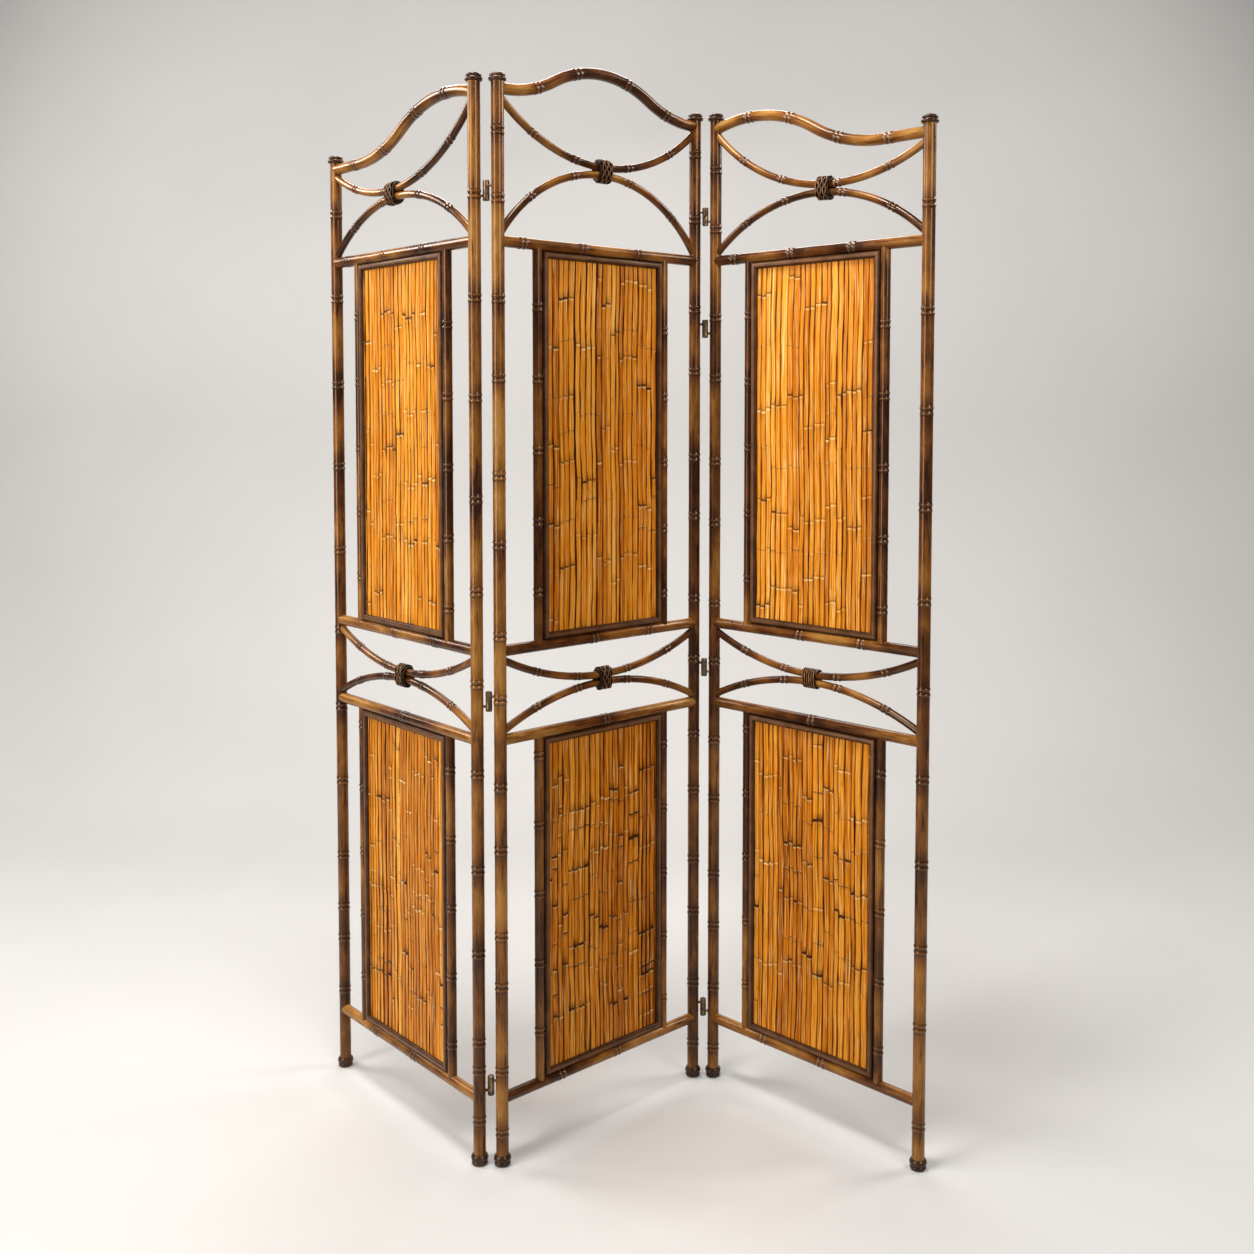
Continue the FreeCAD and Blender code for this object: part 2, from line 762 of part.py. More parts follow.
# Build every panel in its own frame
panels = {"left": {}, "middle": {}, "right": {}}
for panel, hand in (("left", -1), ("middle", 0), ("right", 1)):
    left_height = free_post_height if hand < 0 else hinged_post_height
    right_height = free_post_height if hand > 0 else hinged_post_height
    panels[panel].update(infill_and_frame(panel, hand))
    panels[panel].update(end_pieces(panel, ((-half_span, left_height), (half_span, right_height))))

post_plan = (
    ("left", "left_outer_post", -half_span, free_post_height, (), None),
    ("left", "left_inner_post", half_span, hinged_post_height, left_hinge_heights, behind_lower),
    ("middle", "middle_left_post", -half_span, hinged_post_height, left_hinge_heights, behind_upper),
    ("middle", "middle_right_post", half_span, hinged_post_height, right_hinge_heights, before_upper),
    ("right", "right_inner_post", -half_span, hinged_post_height, right_hinge_heights, before_lower),
    ("right", "right_outer_post", half_span, free_post_height, (), None),
)
for panel, name, x, height, heights, side in post_plan:
    panels[panel][name] = [post(name, x, height, heights, side)]

panels["middle"]["left_hinge_sockets"] = [knuckle(-half_span, behind_upper, z) for z in left_hinge_heights]
panels["left"]["left_hinge_pintles"] = [knuckle(half_span, behind_lower, z) for z in left_hinge_heights]
panels["left"]["left_hinge_pins"] = [hinge_pin(half_span, behind_lower, z) for z in left_hinge_heights]
panels["middle"]["right_hinge_sockets"] = [knuckle(half_span, before_upper, z) for z in right_hinge_heights]
panels["right"]["right_hinge_pintles"] = [knuckle(-half_span, before_lower, z) for z in right_hinge_heights]
panels["right"]["right_hinge_pins"] = [hinge_pin(-half_span, before_lower, z) for z in right_hinge_heights]

# Put the origin on the floor under the middle of the whole screen
stands = [places[panel].multVec(Vector(x, 0, 0)) for panel in panels for x in (-half_span, half_span)]
middle_x = (min(p.x for p in stands) + max(p.x for p in stands)) / 2
middle_y = (min(p.y for p in stands) + max(p.y for p in stands)) / 2
to_origin = FreeCAD.Placement(Vector(-middle_x, -middle_y, 0), FreeCAD.Rotation())
for joint, line in (("left", left_pin_line), ("right", right_pin_line)):
    shown = to_origin.multVec(line)
    print(joint, "pin line x %.3f y %.3f" % (shown.x, shown.y))

# Write each piece or group of like pieces to its own file
os.makedirs("parts", exist_ok=True)
for panel, pieces in panels.items():
    where = to_origin.multiply(places[panel])
    for name, solids in pieces.items():
        shape = solids[0] if len(solids) == 1 else Part.makeCompound(solids)
        shape.transformShape(where.toMatrix(), True)
        shape.exportStep("parts/" + name + ".step")
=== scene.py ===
import logging
import math
import random
from dataclasses import dataclass, field
from enum import Enum
from typing import Optional, Sequence

import bpy
import numpy as np
from mathutils import Matrix, Vector


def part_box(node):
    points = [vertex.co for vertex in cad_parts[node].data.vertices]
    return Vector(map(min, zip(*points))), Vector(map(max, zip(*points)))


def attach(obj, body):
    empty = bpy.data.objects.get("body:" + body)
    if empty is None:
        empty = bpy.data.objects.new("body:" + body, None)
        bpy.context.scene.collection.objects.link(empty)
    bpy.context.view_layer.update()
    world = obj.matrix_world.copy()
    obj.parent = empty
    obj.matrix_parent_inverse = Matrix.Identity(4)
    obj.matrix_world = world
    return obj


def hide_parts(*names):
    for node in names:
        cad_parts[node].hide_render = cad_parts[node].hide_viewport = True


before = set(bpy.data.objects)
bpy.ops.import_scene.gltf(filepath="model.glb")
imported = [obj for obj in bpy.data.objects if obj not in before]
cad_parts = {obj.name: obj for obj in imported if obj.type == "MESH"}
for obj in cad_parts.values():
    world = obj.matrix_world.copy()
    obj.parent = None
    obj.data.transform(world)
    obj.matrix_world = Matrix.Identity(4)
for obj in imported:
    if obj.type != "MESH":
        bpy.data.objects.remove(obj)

LOG = logging.getLogger("screen")
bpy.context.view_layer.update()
MM = 0.001
TURN = 2 * math.pi
QUARTER = math.pi / 2
SIDES = (-1, 1)

Span = tuple[float, float]
Triple = tuple[float, float, float]
Colour = Triple
Outline = Sequence[Span]
Marks = Sequence[Span]
Socket = bpy.types.NodeSocket
Piece = bpy.types.Object
Paint = bpy.types.Material


class Side(Enum):
    """Face of a panel: the front looks along minus Y of the panel, the back along plus Y."""

    FRONT = -1
    BACK = 1


class Hand(Enum):
    """Which end of a panel carries the free post."""

    LEFT_FREE = -1
    NONE_FREE = 0
    RIGHT_FREE = 1


# Small tools for modelling by hand


def leave_edit() -> None:
    """Go back to object mode with nothing selected."""
    if bpy.context.object is not None and bpy.context.object.mode != "OBJECT":
        bpy.ops.object.mode_set(mode="OBJECT")
    bpy.ops.object.select_all(action="DESELECT")


def take(piece: Piece) -> None:
    """Make one object the only selected and the active one.

    Args:
        piece: the object to work on.
    """
    leave_edit()
    piece.select_set(True)
    bpy.context.view_layer.objects.active = piece


def settle(piece: Piece, place: Matrix) -> Piece:
    """Put an object in its place and bake the place into its mesh.

    Args:
        piece: object modelled about the origin.
        place: where it goes in the frame.

    Returns:
        The same object, at the origin, unturned and unscaled.
    """
    take(piece)
    piece.matrix_world = place @ piece.matrix_world
    bpy.ops.object.transform_apply(location=True, rotation=True, scale=True)
    return piece


def smooth(piece: Piece, degrees: float = 40.0) -> None:
    """Shade an object smooth except across edges that turn by more than so many degrees."""
    take(piece)
    bpy.ops.object.shade_smooth_by_angle(angle=math.radians(degrees))


def joined(name: str, pieces: Sequence[Piece]) -> Piece:
    """Join several objects into one.

    Args:
        name: name of the result.
        pieces: the objects, which are used up.

    Returns:
        The joined object.
    """
    leave_edit()
    for piece in pieces:
        piece.select_set(True)
    bpy.context.view_layer.objects.active = pieces[0]
    if len(pieces) > 1:
        bpy.ops.object.join()
    whole = bpy.context.view_layer.objects.active
    whole.name = name
    return whole


def copied(piece: Piece) -> Piece:
    """Copy an object with a mesh of its own.

    Args:
        piece: the pattern.

    Returns:
        The copy, linked into the scene.
    """
    twin = piece.copy()
    twin.data = piece.data.copy()
    bpy.context.scene.collection.objects.link(twin)
    return twin


def face_out(piece: Piece) -> None:
    """Turn all the faces of an object outwards.

    Args:
        piece: the object.
    """
    take(piece)
    bpy.ops.object.mode_set(mode="EDIT")
    bpy.ops.mesh.select_all(action="SELECT")
    bpy.ops.mesh.normals_make_consistent(inside=False)
    bpy.ops.object.mode_set(mode="OBJECT")


def turned(name: str, outline: Outline, steps: int) -> Piece:
    """Turn an outline round the Z axis, as on a lathe.

    Args:
        name: name of the object.
        outline: (radius, height) pairs from the lower end on the axis to the upper end on the axis.
        steps: flats round the circumference.

    Returns:
        The closed turned object.
    """
    leave_edit()
    bpy.ops.mesh.primitive_plane_add(size=MM)
    piece = bpy.context.object
    piece.name = name
    bpy.ops.object.mode_set(mode="EDIT")
    bpy.ops.mesh.select_mode(type="VERT")
    bpy.ops.mesh.select_all(action="SELECT")
    bpy.ops.mesh.merge(type="CENTER")
    bpy.ops.transform.translate(value=(outline[0][0], 0, outline[0][1]))
    for (r0, z0), (r1, z1) in zip(outline, outline[1:]):
        bpy.ops.mesh.extrude_vertices_move(TRANSFORM_OT_translate={"value": (r1 - r0, 0, z1 - z0)})
    bpy.ops.mesh.select_all(action="SELECT")
    bpy.ops.mesh.spin(steps=steps, angle=TURN, center=(0, 0, 0), axis=(0, 0, 1))
    bpy.ops.mesh.select_all(action="SELECT")
    bpy.ops.mesh.remove_doubles(threshold=1e-6)
    face_out(piece)
    return piece


def points_of(piece: Piece) -> np.ndarray:
    """Vertex places of an object's mesh.

    Args:
        piece: the object.

    Returns:
        One row of X, Y and Z for each vertex.
    """
    flat = np.zeros(len(piece.data.vertices) * 3)
    piece.data.vertices.foreach_get("co", flat)
    return flat.reshape(-1, 3)


def store(piece: Piece, **values: object) -> None:
    """Store values for the vertices of an object under names that finishes can read.

    Args:
        piece: the object.
        **values: by name, a number or a vector for each vertex, or one number for all.
    """
    for name, given in values.items():
        rows = np.asarray(given, dtype=np.float32)
        if rows.ndim == 0:
            rows = np.full(len(piece.data.vertices), rows)
        kind, key = ("FLOAT", "value") if rows.ndim == 1 else ("FLOAT_VECTOR", "vector")
        layer = piece.data.attributes.new(name, kind, "POINT")
        layer.data.foreach_set(key, np.ascontiguousarray(rows).ravel())


def hand_over(piece: Piece, body: str, nodes: Sequence[str], material: Paint) -> None:
    """Give a finished piece its material, its body and the solids it stands for.

    Args:
        piece: the finished piece.
        body: body that it moves with.
        nodes: solids that it stands for.
        material: its finish.
    """
    piece.data.materials.clear()
    piece.data.materials.append(material)
    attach(piece, body)
    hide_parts(*nodes)
    LOG.info("%s: %d faces on %s", piece.name, len(piece.data.polygons), body)


# Finishes

LACQUER: Colour = (1.0, 0.74, 0.48)


class Bench:
    """Lays out the nodes of one material."""

    def __init__(self, name: str) -> None:
        """Start a material with a single shader.

        Args:
            name: name of the material.
        """
        self.material = bpy.data.materials.new(name)
        self.material.use_nodes = True
        self.tree = self.material.node_tree
        self.shader = next(n for n in self.tree.nodes if n.type == "BSDF_PRINCIPLED")

    def node(self, kind: str, **settings: object) -> bpy.types.Node:
        """Add a node and set its properties.

        Args:
            kind: node type name.
            **settings: properties of the node.

        Returns:
            The node.
        """
        made = self.tree.nodes.new(kind)
        for key, value in settings.items():
            setattr(made, key, value)
        return made

    def feed(self, target: Socket, value: object) -> None:
        """Link a socket to an input, or set the input to a constant.

        Args:
            target: the input.
            value: an output socket, a number or a colour.
        """
        if isinstance(value, Socket):
            self.tree.links.new(value, target)
        elif isinstance(value, tuple) and len(value) == 3 and target.type == "RGBA":
            target.default_value = (*value, 1.0)
        else:
            target.default_value = value

    def number(self, name: str) -> Socket:
        """Number that the piece stores under a name."""
        return self.node("ShaderNodeAttribute", attribute_name=name).outputs["Fac"]

    def vector(self, name: str) -> Socket:
        """Vector that the piece stores under a name."""
        return self.node("ShaderNodeAttribute", attribute_name=name).outputs["Vector"]

    def place(self) -> Socket:
        """Object coordinates of the piece."""
        return self.node("ShaderNodeTexCoord").outputs["Object"]

    def noise(self, vector: Socket, scale: Triple, detail: float = 2.0) -> Socket:
        """Noise from 0 to 1 at its own scale along each axis.

        Args:
            vector: where it is read.
            scale: features per metre along each axis.
            detail: octaves of finer noise.

        Returns:
            The noise.
        """
        mapping = self.node("ShaderNodeMapping")
        self.feed(mapping.inputs["Vector"], vector)
        mapping.inputs["Scale"].default_value = scale
        texture = self.node("ShaderNodeTexNoise")
        self.feed(texture.inputs["Vector"], mapping.outputs["Vector"])
        texture.inputs["Scale"].default_value = 1.0
        texture.inputs["Detail"].default_value = detail
        return texture.outputs["Fac"]

    def calc(self, operation: str, *values: object) -> Socket:
        """Arithmetic on one, two or three values.

        Args:
            operation: name of the operation.
            *values: numbers or output sockets.

        Returns:
            The result.
        """
        made = self.node("ShaderNodeMath", operation=operation)
        for target, value in zip(made.inputs, values):
            self.feed(target, value)
        return made.outputs["Value"]

    def times(self, first: object, second: object) -> Socket:
        """Product of two values."""
        return self.calc("MULTIPLY", first, second)

    def vary(self, base: object, noise: Socket, amount: float) -> Socket:
        """Value that a noise moves up and down by an amount."""
        return self.calc("MULTIPLY_ADD", self.calc("SUBTRACT", noise, 0.5), amount, base)

    def step(self, value: Socket, span: Span, start: float = 0.0, end: float = 1.0) -> Socket:
        """Soft step from one level to another.

        Args:
            value: what is measured.
            span: where the step starts and ends.
            start: level below it.
            end: level above it.

        Returns:
            The level.
        """
        made = self.node("ShaderNodeMapRange", interpolation_type="SMOOTHSTEP")
        self.feed(made.inputs["Value"], value)
        for key, number in zip(("From Min", "From Max", "To Min", "To Max"), (*span, start, end)):
            made.inputs[key].default_value = number
        return made.outputs["Result"]

    def band(self, value: Socket, rise: Span, fall: Span, level: float = 1.0) -> Socket:
        """Soft band that fades in over one span to a level and out again over another."""
        return self.times(self.step(value, rise), self.step(value, fall, level, 0.0))

    def ramp(self, value: Socket, stops: Sequence[tuple[float, Colour]]) -> Socket:
        """Colour by value.

        Args:
            value: position from 0 to 1.
            stops: positions and colours.

        Returns:
            The colour.
        """
        made = self.node("ShaderNodeValToRGB")
        elements = made.color_ramp.elements
        while len(elements) < len(stops):
            elements.new(0.5)
        for element, (position, colour) in zip(elements, stops):
            element.position = position
            element.color = (*colour, 1.0)
        self.feed(made.inputs["Fac"], value)
        return made.outputs["Color"]

    def blend(self, share: object, first: object, second: object) -> Socket:
        """Mix two colours.

        Args:
            share: how much of the second.
            first: first colour.
            second: second colour.

        Returns:
            The mixed colour.
        """
        made = self.node("ShaderNodeMix", data_type="RGBA")
        self.feed(made.inputs["Factor"], share)
        # The colour sockets share their names with others, so they go by number
        self.feed(made.inputs[6], first)
        self.feed(made.inputs[7], second)
        return made.outputs[2]

    def bump(self, height: Socket, strength: float, distance: float) -> None:
        """Raise the surface by a height.

        Args:
            height: height from 0 to 1.
            strength: how strongly it shows.
            distance: height of 1 in metres.
        """
        made = self.node("ShaderNodeBump")
        made.inputs["Strength"].default_value = strength
        made.inputs["Distance"].default_value = distance
        self.feed(made.inputs["Height"], height)
        self.feed(self.shader.inputs["Normal"], made.outputs["Normal"])

    def surface(self, colour: Socket, roughness: object) -> None:
        """Set the colour and the roughness, a number or an output socket."""
        self.feed(self.shader.inputs["Base Color"], colour)
        self.feed(self.shader.inputs["Roughness"], roughness)

    def gloss(self, shine: float, coat: object, coat_roughness: float) -> None:
        """Lay lacquer over the surface.

        Args:
            shine: strength of the warm shine under the clear coat.
            coat: how much clear coat, a number or an output socket.
            coat_roughness: how dull the coat is.
        """
        self.shader.inputs["Specular IOR Level"].default_value = shine
        self.shader.inputs["Specular Tint"].default_value = (*LACQUER, 1.0)
        self.feed(self.shader.inputs["Coat Weight"], coat)
        self.shader.inputs["Coat Roughness"].default_value = coat_roughness


@dataclass(frozen=True)
class BambooFinish:
    """Lacquered bamboo pole, stained in long patches and scorched round its joints."""

    name: str
    lift: float = -0.03
    scorch: float = 0.34
    scorched: Colour = (0.034, 0.0095, 0.0032)
    brown: Colour = (0.118, 0.0375, 0.0085)
    amber: Colour = (0.248, 0.096, 0.0165)
    pale: Colour = (0.40, 0.190, 0.042)
    patch_grain: Triple = (12.0, 12.0, 5.2)
    mottle_grain: Triple = (95.0, 95.0, 30.0)
    fibre_grain: Triple = (560.0, 560.0, 8.0)
    stain_grain: Triple = (130.0, 130.0, 15.0)
    scorch_reach: Span = (4 * MM, 38 * MM)
    groove: Span = (0.8 * MM, 2.6 * MM)
    crest_rise: Span = (2.2 * MM, 4.0 * MM)
    crest_fall: Span = (5.0 * MM, 6.6 * MM)
    shoulder_rise: Span = (5.6 * MM, 6.6 * MM)
    shoulder_fall: Span = (7.4 * MM, 10.5 * MM)

    def material(self) -> Paint:
        """Build the material.

        Returns:
            A material that reads the attributes pole, joint and tone.
        """
        bench = Bench(self.name)
        pole = bench.vector("pole")
        joint = bench.number("joint")
        patch = bench.noise(pole, self.patch_grain, 1.5)
        mottle = bench.noise(pole, self.mottle_grain, 3.0)
        fibre = bench.noise(pole, self.fibre_grain)
        stain = bench.noise(pole, self.stain_grain, 3.0)
        # Light and dark lengths, mottled and streaked
        shade = bench.step(patch, (0.30, 0.68), 0.18, 0.92)
        shade = bench.vary(shade, mottle, 0.72)
        shade = bench.vary(shade, fibre, 0.46)
        shade = bench.calc("SUBTRACT", shade, bench.step(stain, (0.54, 0.68), 0.0, 0.34))
        # Scorched towards each joint
        scorch = bench.step(joint, self.scorch_reach, self.scorch, 0.0)
        scorch = bench.times(scorch, bench.step(mottle, (0.3, 0.7), 0.5, 1.3))
        shade = bench.calc("ADD", bench.calc("SUBTRACT", shade, scorch), self.lift)
        # Each pole's own tone, with painted light and shade on some posts
        shade = bench.calc("ADD", shade, bench.number("tone"))
        stops = ((0.0, self.scorched), (0.34, self.brown), (0.66, self.amber), (1.0, self.pale))
        colour = bench.ramp(shade, stops)
        # A rubbed crest between a dark groove and a dark shoulder
        crest = bench.band(joint, self.crest_rise, self.crest_fall)
        colour = bench.blend(bench.times(crest, 0.30), colour, self.amber)
        groove = bench.step(joint, self.groove, 0.80, 0.0)
        shoulder = bench.band(joint, self.shoulder_rise, self.shoulder_fall, 0.55)
        colour = bench.blend(bench.calc("MAXIMUM", groove, shoulder), colour, self.scorched)
        bench.surface(colour, bench.step(mottle, (0.2, 0.8), 0.17, 0.30))
        bench.bump(fibre, 0.08, 0.25 * MM)
        bench.gloss(0.40, bench.calc("MULTIPLY_ADD", crest, 0.45, 0.10), 0.14)
        return bench.material


@dataclass(frozen=True)
class ReedFinish:
    """Split bamboo strips: orange to golden rind with dark scars, joints and cracks, painted shade in the
    seams and across each strip, and painted glints and highlights.
    """

    name: str = "split_bamboo"
    # gap: dark of joint scars, stains and cracks, and painted shade in the seams between strips
    gap: Colour = (0.062, 0.0145, 0.0012)
    deep: Colour = (0.28, 0.066, 0.0020)
    orange: Colour = (0.66, 0.192, 0.0045)
    golden: Colour = (0.94, 0.405, 0.032)
    # straw: palest rind, also the colour of the painted glints and lip highlights
    straw: Colour = (1.0, 0.69, 0.27)
    streak_grain: Triple = (2.1, 0.0, 5.0)
    fibre_grain: Triple = (7.0, 0.0, 14.0)
    cloud_grain: Triple = (0.7, 0.0, 26.0)
    seam_shade_grain: Triple = (0.8, 0.0, 13.0)
    wobble_grain: Triple = (2.6, 0.0, 3.0)
    painted_glint_grain: Triple = (6.0, 0.0, 11.0)
    crack_grain: Triple = (3.4, 0.0, 7.0)
    wobble: float = 9.0 * MM
    stain_rise: Span = (-0.5 * MM, 0.5 * MM)
    stain_fall: Span = (2 * MM, 17 * MM)
    # Painted highlight on the lip below each joint
    lip_highlight_rise: Span = (-4.8 * MM, -2.4 * MM)
    lip_highlight_fall: Span = (-1.4 * MM, -0.4 * MM)
    scar_width: float = 1.7 * MM
    scar_edge: Span = (0.1 * MM, 1.1 * MM)
    # Painted shade in the seams between strips: how far in it reaches near joints, and where it starts across
    # a strip
    seam_shade_joint_reach: Span = (2.0 * MM, 26.0 * MM)
    seam: Span = (0.80, 0.88)
    crack: Span = (0.645, 0.69)
    worn_crack: float = 0.055

    def material(self) -> Paint:
        """Build the material.

        Returns:
            A material that reads the attributes cane, joint, scar, flare, seam, wear and tone.
        """
        bench = Bench(self.name)
        cane = bench.vector("cane")
        split = bench.node("ShaderNodeSeparateXYZ")
        bench.feed(split.inputs["Vector"], cane)
        across = bench.calc("ABSOLUTE", split.outputs["X"])
        streak = bench.noise(cane, self.streak_grain, 3.0)
        fibre = bench.noise(cane, self.fibre_grain, 3.0)
        joint = bench.vary(bench.number("joint"), bench.noise(cane, self.wobble_grain), self.wobble)
        near = bench.calc("ABSOLUTE", joint)
        depth = bench.number("scar")
        # Rind from deep orange to straw, with darker clouds, painted shade across each strip and painted
        # glints
        shade = bench.vary(bench.number("tone"), streak, 1.5)
        shade = bench.vary(shade, fibre, 1.1)
        # Painted shade: each strip lighter along its crown and darker towards its edges
        shade = bench.calc("ADD", shade, bench.step(across, (0.5, 1.0), 0.05, -0.06))
        stops = ((0.05, self.deep), (0.42, self.orange), (0.85, self.golden), (1.0, self.straw))
        colour = bench.ramp(shade, stops)
        cloud = bench.step(bench.noise(cane, self.cloud_grain), (0.60, 0.76), 0.0, 0.5)
        colour = bench.blend(cloud, colour, self.deep)
        # Painted highlight: pale glints streaked along the strips
        painted_glint = bench.step(bench.noise(cane, self.painted_glint_grain), (0.59, 0.65), 0.0, 0.8)
        colour = bench.blend(painted_glint, colour, self.straw)
        # Stain above each joint and a painted highlight on the lip below it
        stain = bench.band(joint, self.stain_rise, self.stain_fall, 0.75)
        stain = bench.times(stain, bench.step(streak, (0.44, 0.58)))
        colour = bench.blend(bench.times(stain, depth), colour, self.gap)
        lip_highlight_band = bench.band(joint, self.lip_highlight_rise, self.lip_highlight_fall)
        colour = bench.blend(bench.times(lip_highlight_band, bench.number("flare")), colour, self.straw)
        # Dark scar of the joint, cracks, and painted shade in the seams between strips, reaching further near
        # joints
        scar = bench.calc("MULTIPLY_ADD", depth, -self.scar_width, near)
        scar = bench.times(bench.step(scar, self.scar_edge, 1.0, 0.0), depth)
        reach = bench.vary(across, bench.noise(cane, self.seam_shade_grain), 1.0)
        reach = bench.calc("ADD", reach, bench.step(near, self.seam_shade_joint_reach, 0.12, 0.0))
        edge = bench.times(bench.step(reach, self.seam, 0.0, 0.97), bench.number("seam"))
        crack = bench.noise(cane, self.crack_grain, 3.0)
        crack = bench.calc("MULTIPLY_ADD", bench.number("wear"), self.worn_crack, crack)
        edge = bench.calc("MAXIMUM", edge, bench.step(crack, self.crack, 0.0, 0.9))
        colour = bench.blend(bench.calc("MAXIMUM", scar, edge), colour, self.gap)
        bench.surface(colour, bench.step(fibre, (0.2, 0.8), 0.36, 0.55))
        bench.bump(fibre, 0.4, 0.35 * MM)
        bench.gloss(0.16, 0.06, 0.14)
        return bench.material


@dataclass(frozen=True)
class StainedWoodFinish:
    """Dark stained wood with rubbed highs, and crests lightened by wear and a painted highlight, for
    mouldings and turned ends.
    """

    name: str
    deep: Colour = (0.026, 0.0092, 0.0038)
    rubbed: Colour = (0.110, 0.043, 0.0170)
    crest_wear_and_highlight: Colour = (0.200, 0.092, 0.0420)
    cloud_grain: Triple = (34.0, 34.0, 34.0)
    fine_grain: Triple = (204.0, 204.0, 204.0)
    dullness: Span = (0.34, 0.52)
    coat: float = 0.10

    def material(self) -> Paint:
        """Build the material.

        Returns:
            A material on object coordinates that reads the attribute crest.
        """
        bench = Bench(self.name)
        place = bench.place()
        cloud = bench.noise(place, self.cloud_grain, 4.0)
        fine = bench.noise(place, self.fine_grain)
        middle = tuple((a + b) / 2.6 for a, b in zip(self.deep, self.rubbed))
        stops = ((0.30, self.deep), (0.52, middle), (0.78, self.rubbed))
        colour = bench.ramp(bench.vary(cloud, fine, 0.3), stops)
        # Wear and painted highlight: the crest of a moulding lighter along its length
        crest = bench.step(bench.number("crest"), (0.80, 1.0), 0.0, 0.75)
        crest = bench.times(crest, bench.step(cloud, (0.30, 0.60), 0.5, 1.0))
        colour = bench.blend(crest, colour, self.crest_wear_and_highlight)
        bench.surface(colour, bench.step(fine, (0.2, 0.8), *self.dullness))
        bench.bump(fine, 0.15, 0.2 * MM)
        bench.gloss(0.25, self.coat, 0.12)
        return bench.material


@dataclass(frozen=True)
class RattanFinish:
    """Lacquered rattan strand, with painted shade between the turns and under the plait."""

    name: str = "rattan"
    shadow: Colour = (0.008, 0.0030, 0.0014)
    dark: Colour = (0.085, 0.030, 0.0125)
    brown: Colour = (0.330, 0.132, 0.0480)
    light: Colour = (0.70, 0.375, 0.175)
    cloud_grain: Triple = (170.0, 170.0, 170.0)
    fibre_grain: Triple = (900.0, 900.0, 420.0)

    def material(self) -> Paint:
        """Build the material.

        Returns:
            A material on object coordinates that reads the attribute crown.
        """
        bench = Bench(self.name)
        place = bench.place()
        cloud = bench.noise(place, self.cloud_grain, 3.0)
        fibre = bench.noise(place, self.fibre_grain)
        stops = ((0.28, self.dark), (0.52, self.brown), (0.82, self.light))
        colour = bench.ramp(bench.vary(cloud, fibre, 0.6), stops)
        # Painted shade: darker where a strand faces its neighbours and where the coil lies under the plait
        crown = bench.step(bench.number("crown"), (0.42, 0.92))
        colour = bench.blend(crown, self.shadow, colour)
        bench.surface(colour, bench.step(cloud, (0.2, 0.8), 0.32, 0.5))
        bench.bump(fibre, 0.3, 0.2 * MM)
        bench.gloss(0.35, 0.10, 0.16)
        return bench.material


@dataclass(frozen=True)
class MetalFinish:
    """Old brass or steel, tarnished in clouds."""

    name: str
    bright: Colour
    tarnish: Colour
    cloud_grain: Triple = (210.0, 210.0, 120.0)
    scuff_grain: Triple = (1500.0, 1500.0, 300.0)
    dullness: Span = (0.54, 0.34)
    metallic: float = 0.85

    def material(self) -> Paint:
        """Build the material.

        Returns:
            A material on object coordinates.
        """
        bench = Bench(self.name)
        place = bench.place()
        cloud = bench.noise(place, self.cloud_grain, 4.0)
        colour = bench.ramp(cloud, ((0.38, self.tarnish), (0.66, self.bright)))
        bench.surface(colour, bench.step(cloud, (0.3, 0.7), *self.dullness))
        bench.shader.inputs["Metallic"].default_value = self.metallic
        bench.bump(bench.noise(place, self.scuff_grain), 0.2, 0.1 * MM)
        return bench.material


# Places and shared sizes


@dataclass(frozen=True)
class Sizes:
    """Sizes shared by the pieces of a panel, in metres."""

    half_span: float = 224 * MM
    post_r: float = 10.5 * MM
    rail_r: float = 9.5 * MM
    bent_r: float = 6.5 * MM
    stile_r: float = 8 * MM
    hinged_height: float = 1790 * MM
    free_height: float = 1721 * MM
    rail_heights: tuple[float, float, float, float] = (1523 * MM, 859 * MM, 712 * MM, 112 * MM)
    cap_height: float = 14.5 * MM
    foot_height: float = 18 * MM
    stile_x: float = 144 * MM
    lashed_gap: float = 0.3 * MM
    corner_gap: float = 0.4 * MM

    @property
    def clear_span(self) -> float:
        """Half the clear width between the posts."""
        return self.half_span - self.post_r

    @property
    def bays(self) -> tuple[Span, Span]:
        """Rail heights below and above each infill, the upper one first."""
        head, sill, low_head, bottom = self.rail_heights
        return (sill, head), (bottom, low_head)


SIZES = Sizes()


@dataclass(frozen=True)
class PanelPlace:
    """A panel's name, its two posts, its free end, how worn its lower infill is and how much painted shade
    darkens it, and where it stands.
    """

    name: str
    body: str
    posts: tuple[str, str]
    hand: Hand
    wear: float = 1.0

    def matrix(self) -> Matrix:
        """Place of the panel's own frame, from the boxes of its two posts.

        Returns:
            Matrix from the panel's frame, X along its width and minus Y to its front.
        """
        ends = []
        for node in self.posts:
            low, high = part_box(node)
            ends.append((low + high) / 2)
        across = ends[1] - ends[0]
        middle = (ends[0] + ends[1]) / 2
        turn = Matrix.Rotation(math.atan2(across.y, across.x), 4, "Z")
        return Matrix.Translation((middle.x, middle.y, 0)) @ turn

    def heights(self) -> Span:
        """Heights of the two posts over their caps.

        Returns:
            Height of the left and of the right post.
        """
        left = SIZES.free_height if self.hand is Hand.LEFT_FREE else SIZES.hinged_height
        right = SIZES.free_height if self.hand is Hand.RIGHT_FREE else SIZES.hinged_height
        return left, right


PANELS = (
    PanelPlace("left", "left_panel", ("left_outer_post", "left_inner_post"), Hand.LEFT_FREE),
    PanelPlace("middle", "middle_panel", ("middle_left_post", "middle_right_post"), Hand.NONE_FREE, 1.4),
    PanelPlace("right", "right_panel", ("right_inner_post", "right_outer_post"), Hand.RIGHT_FREE),
)


# Bamboo poles

# Radius of a run that looks straight, and how far from the ends of a pole its joints stay
FLAT = 60.0
END_CLEAR = 22 * MM


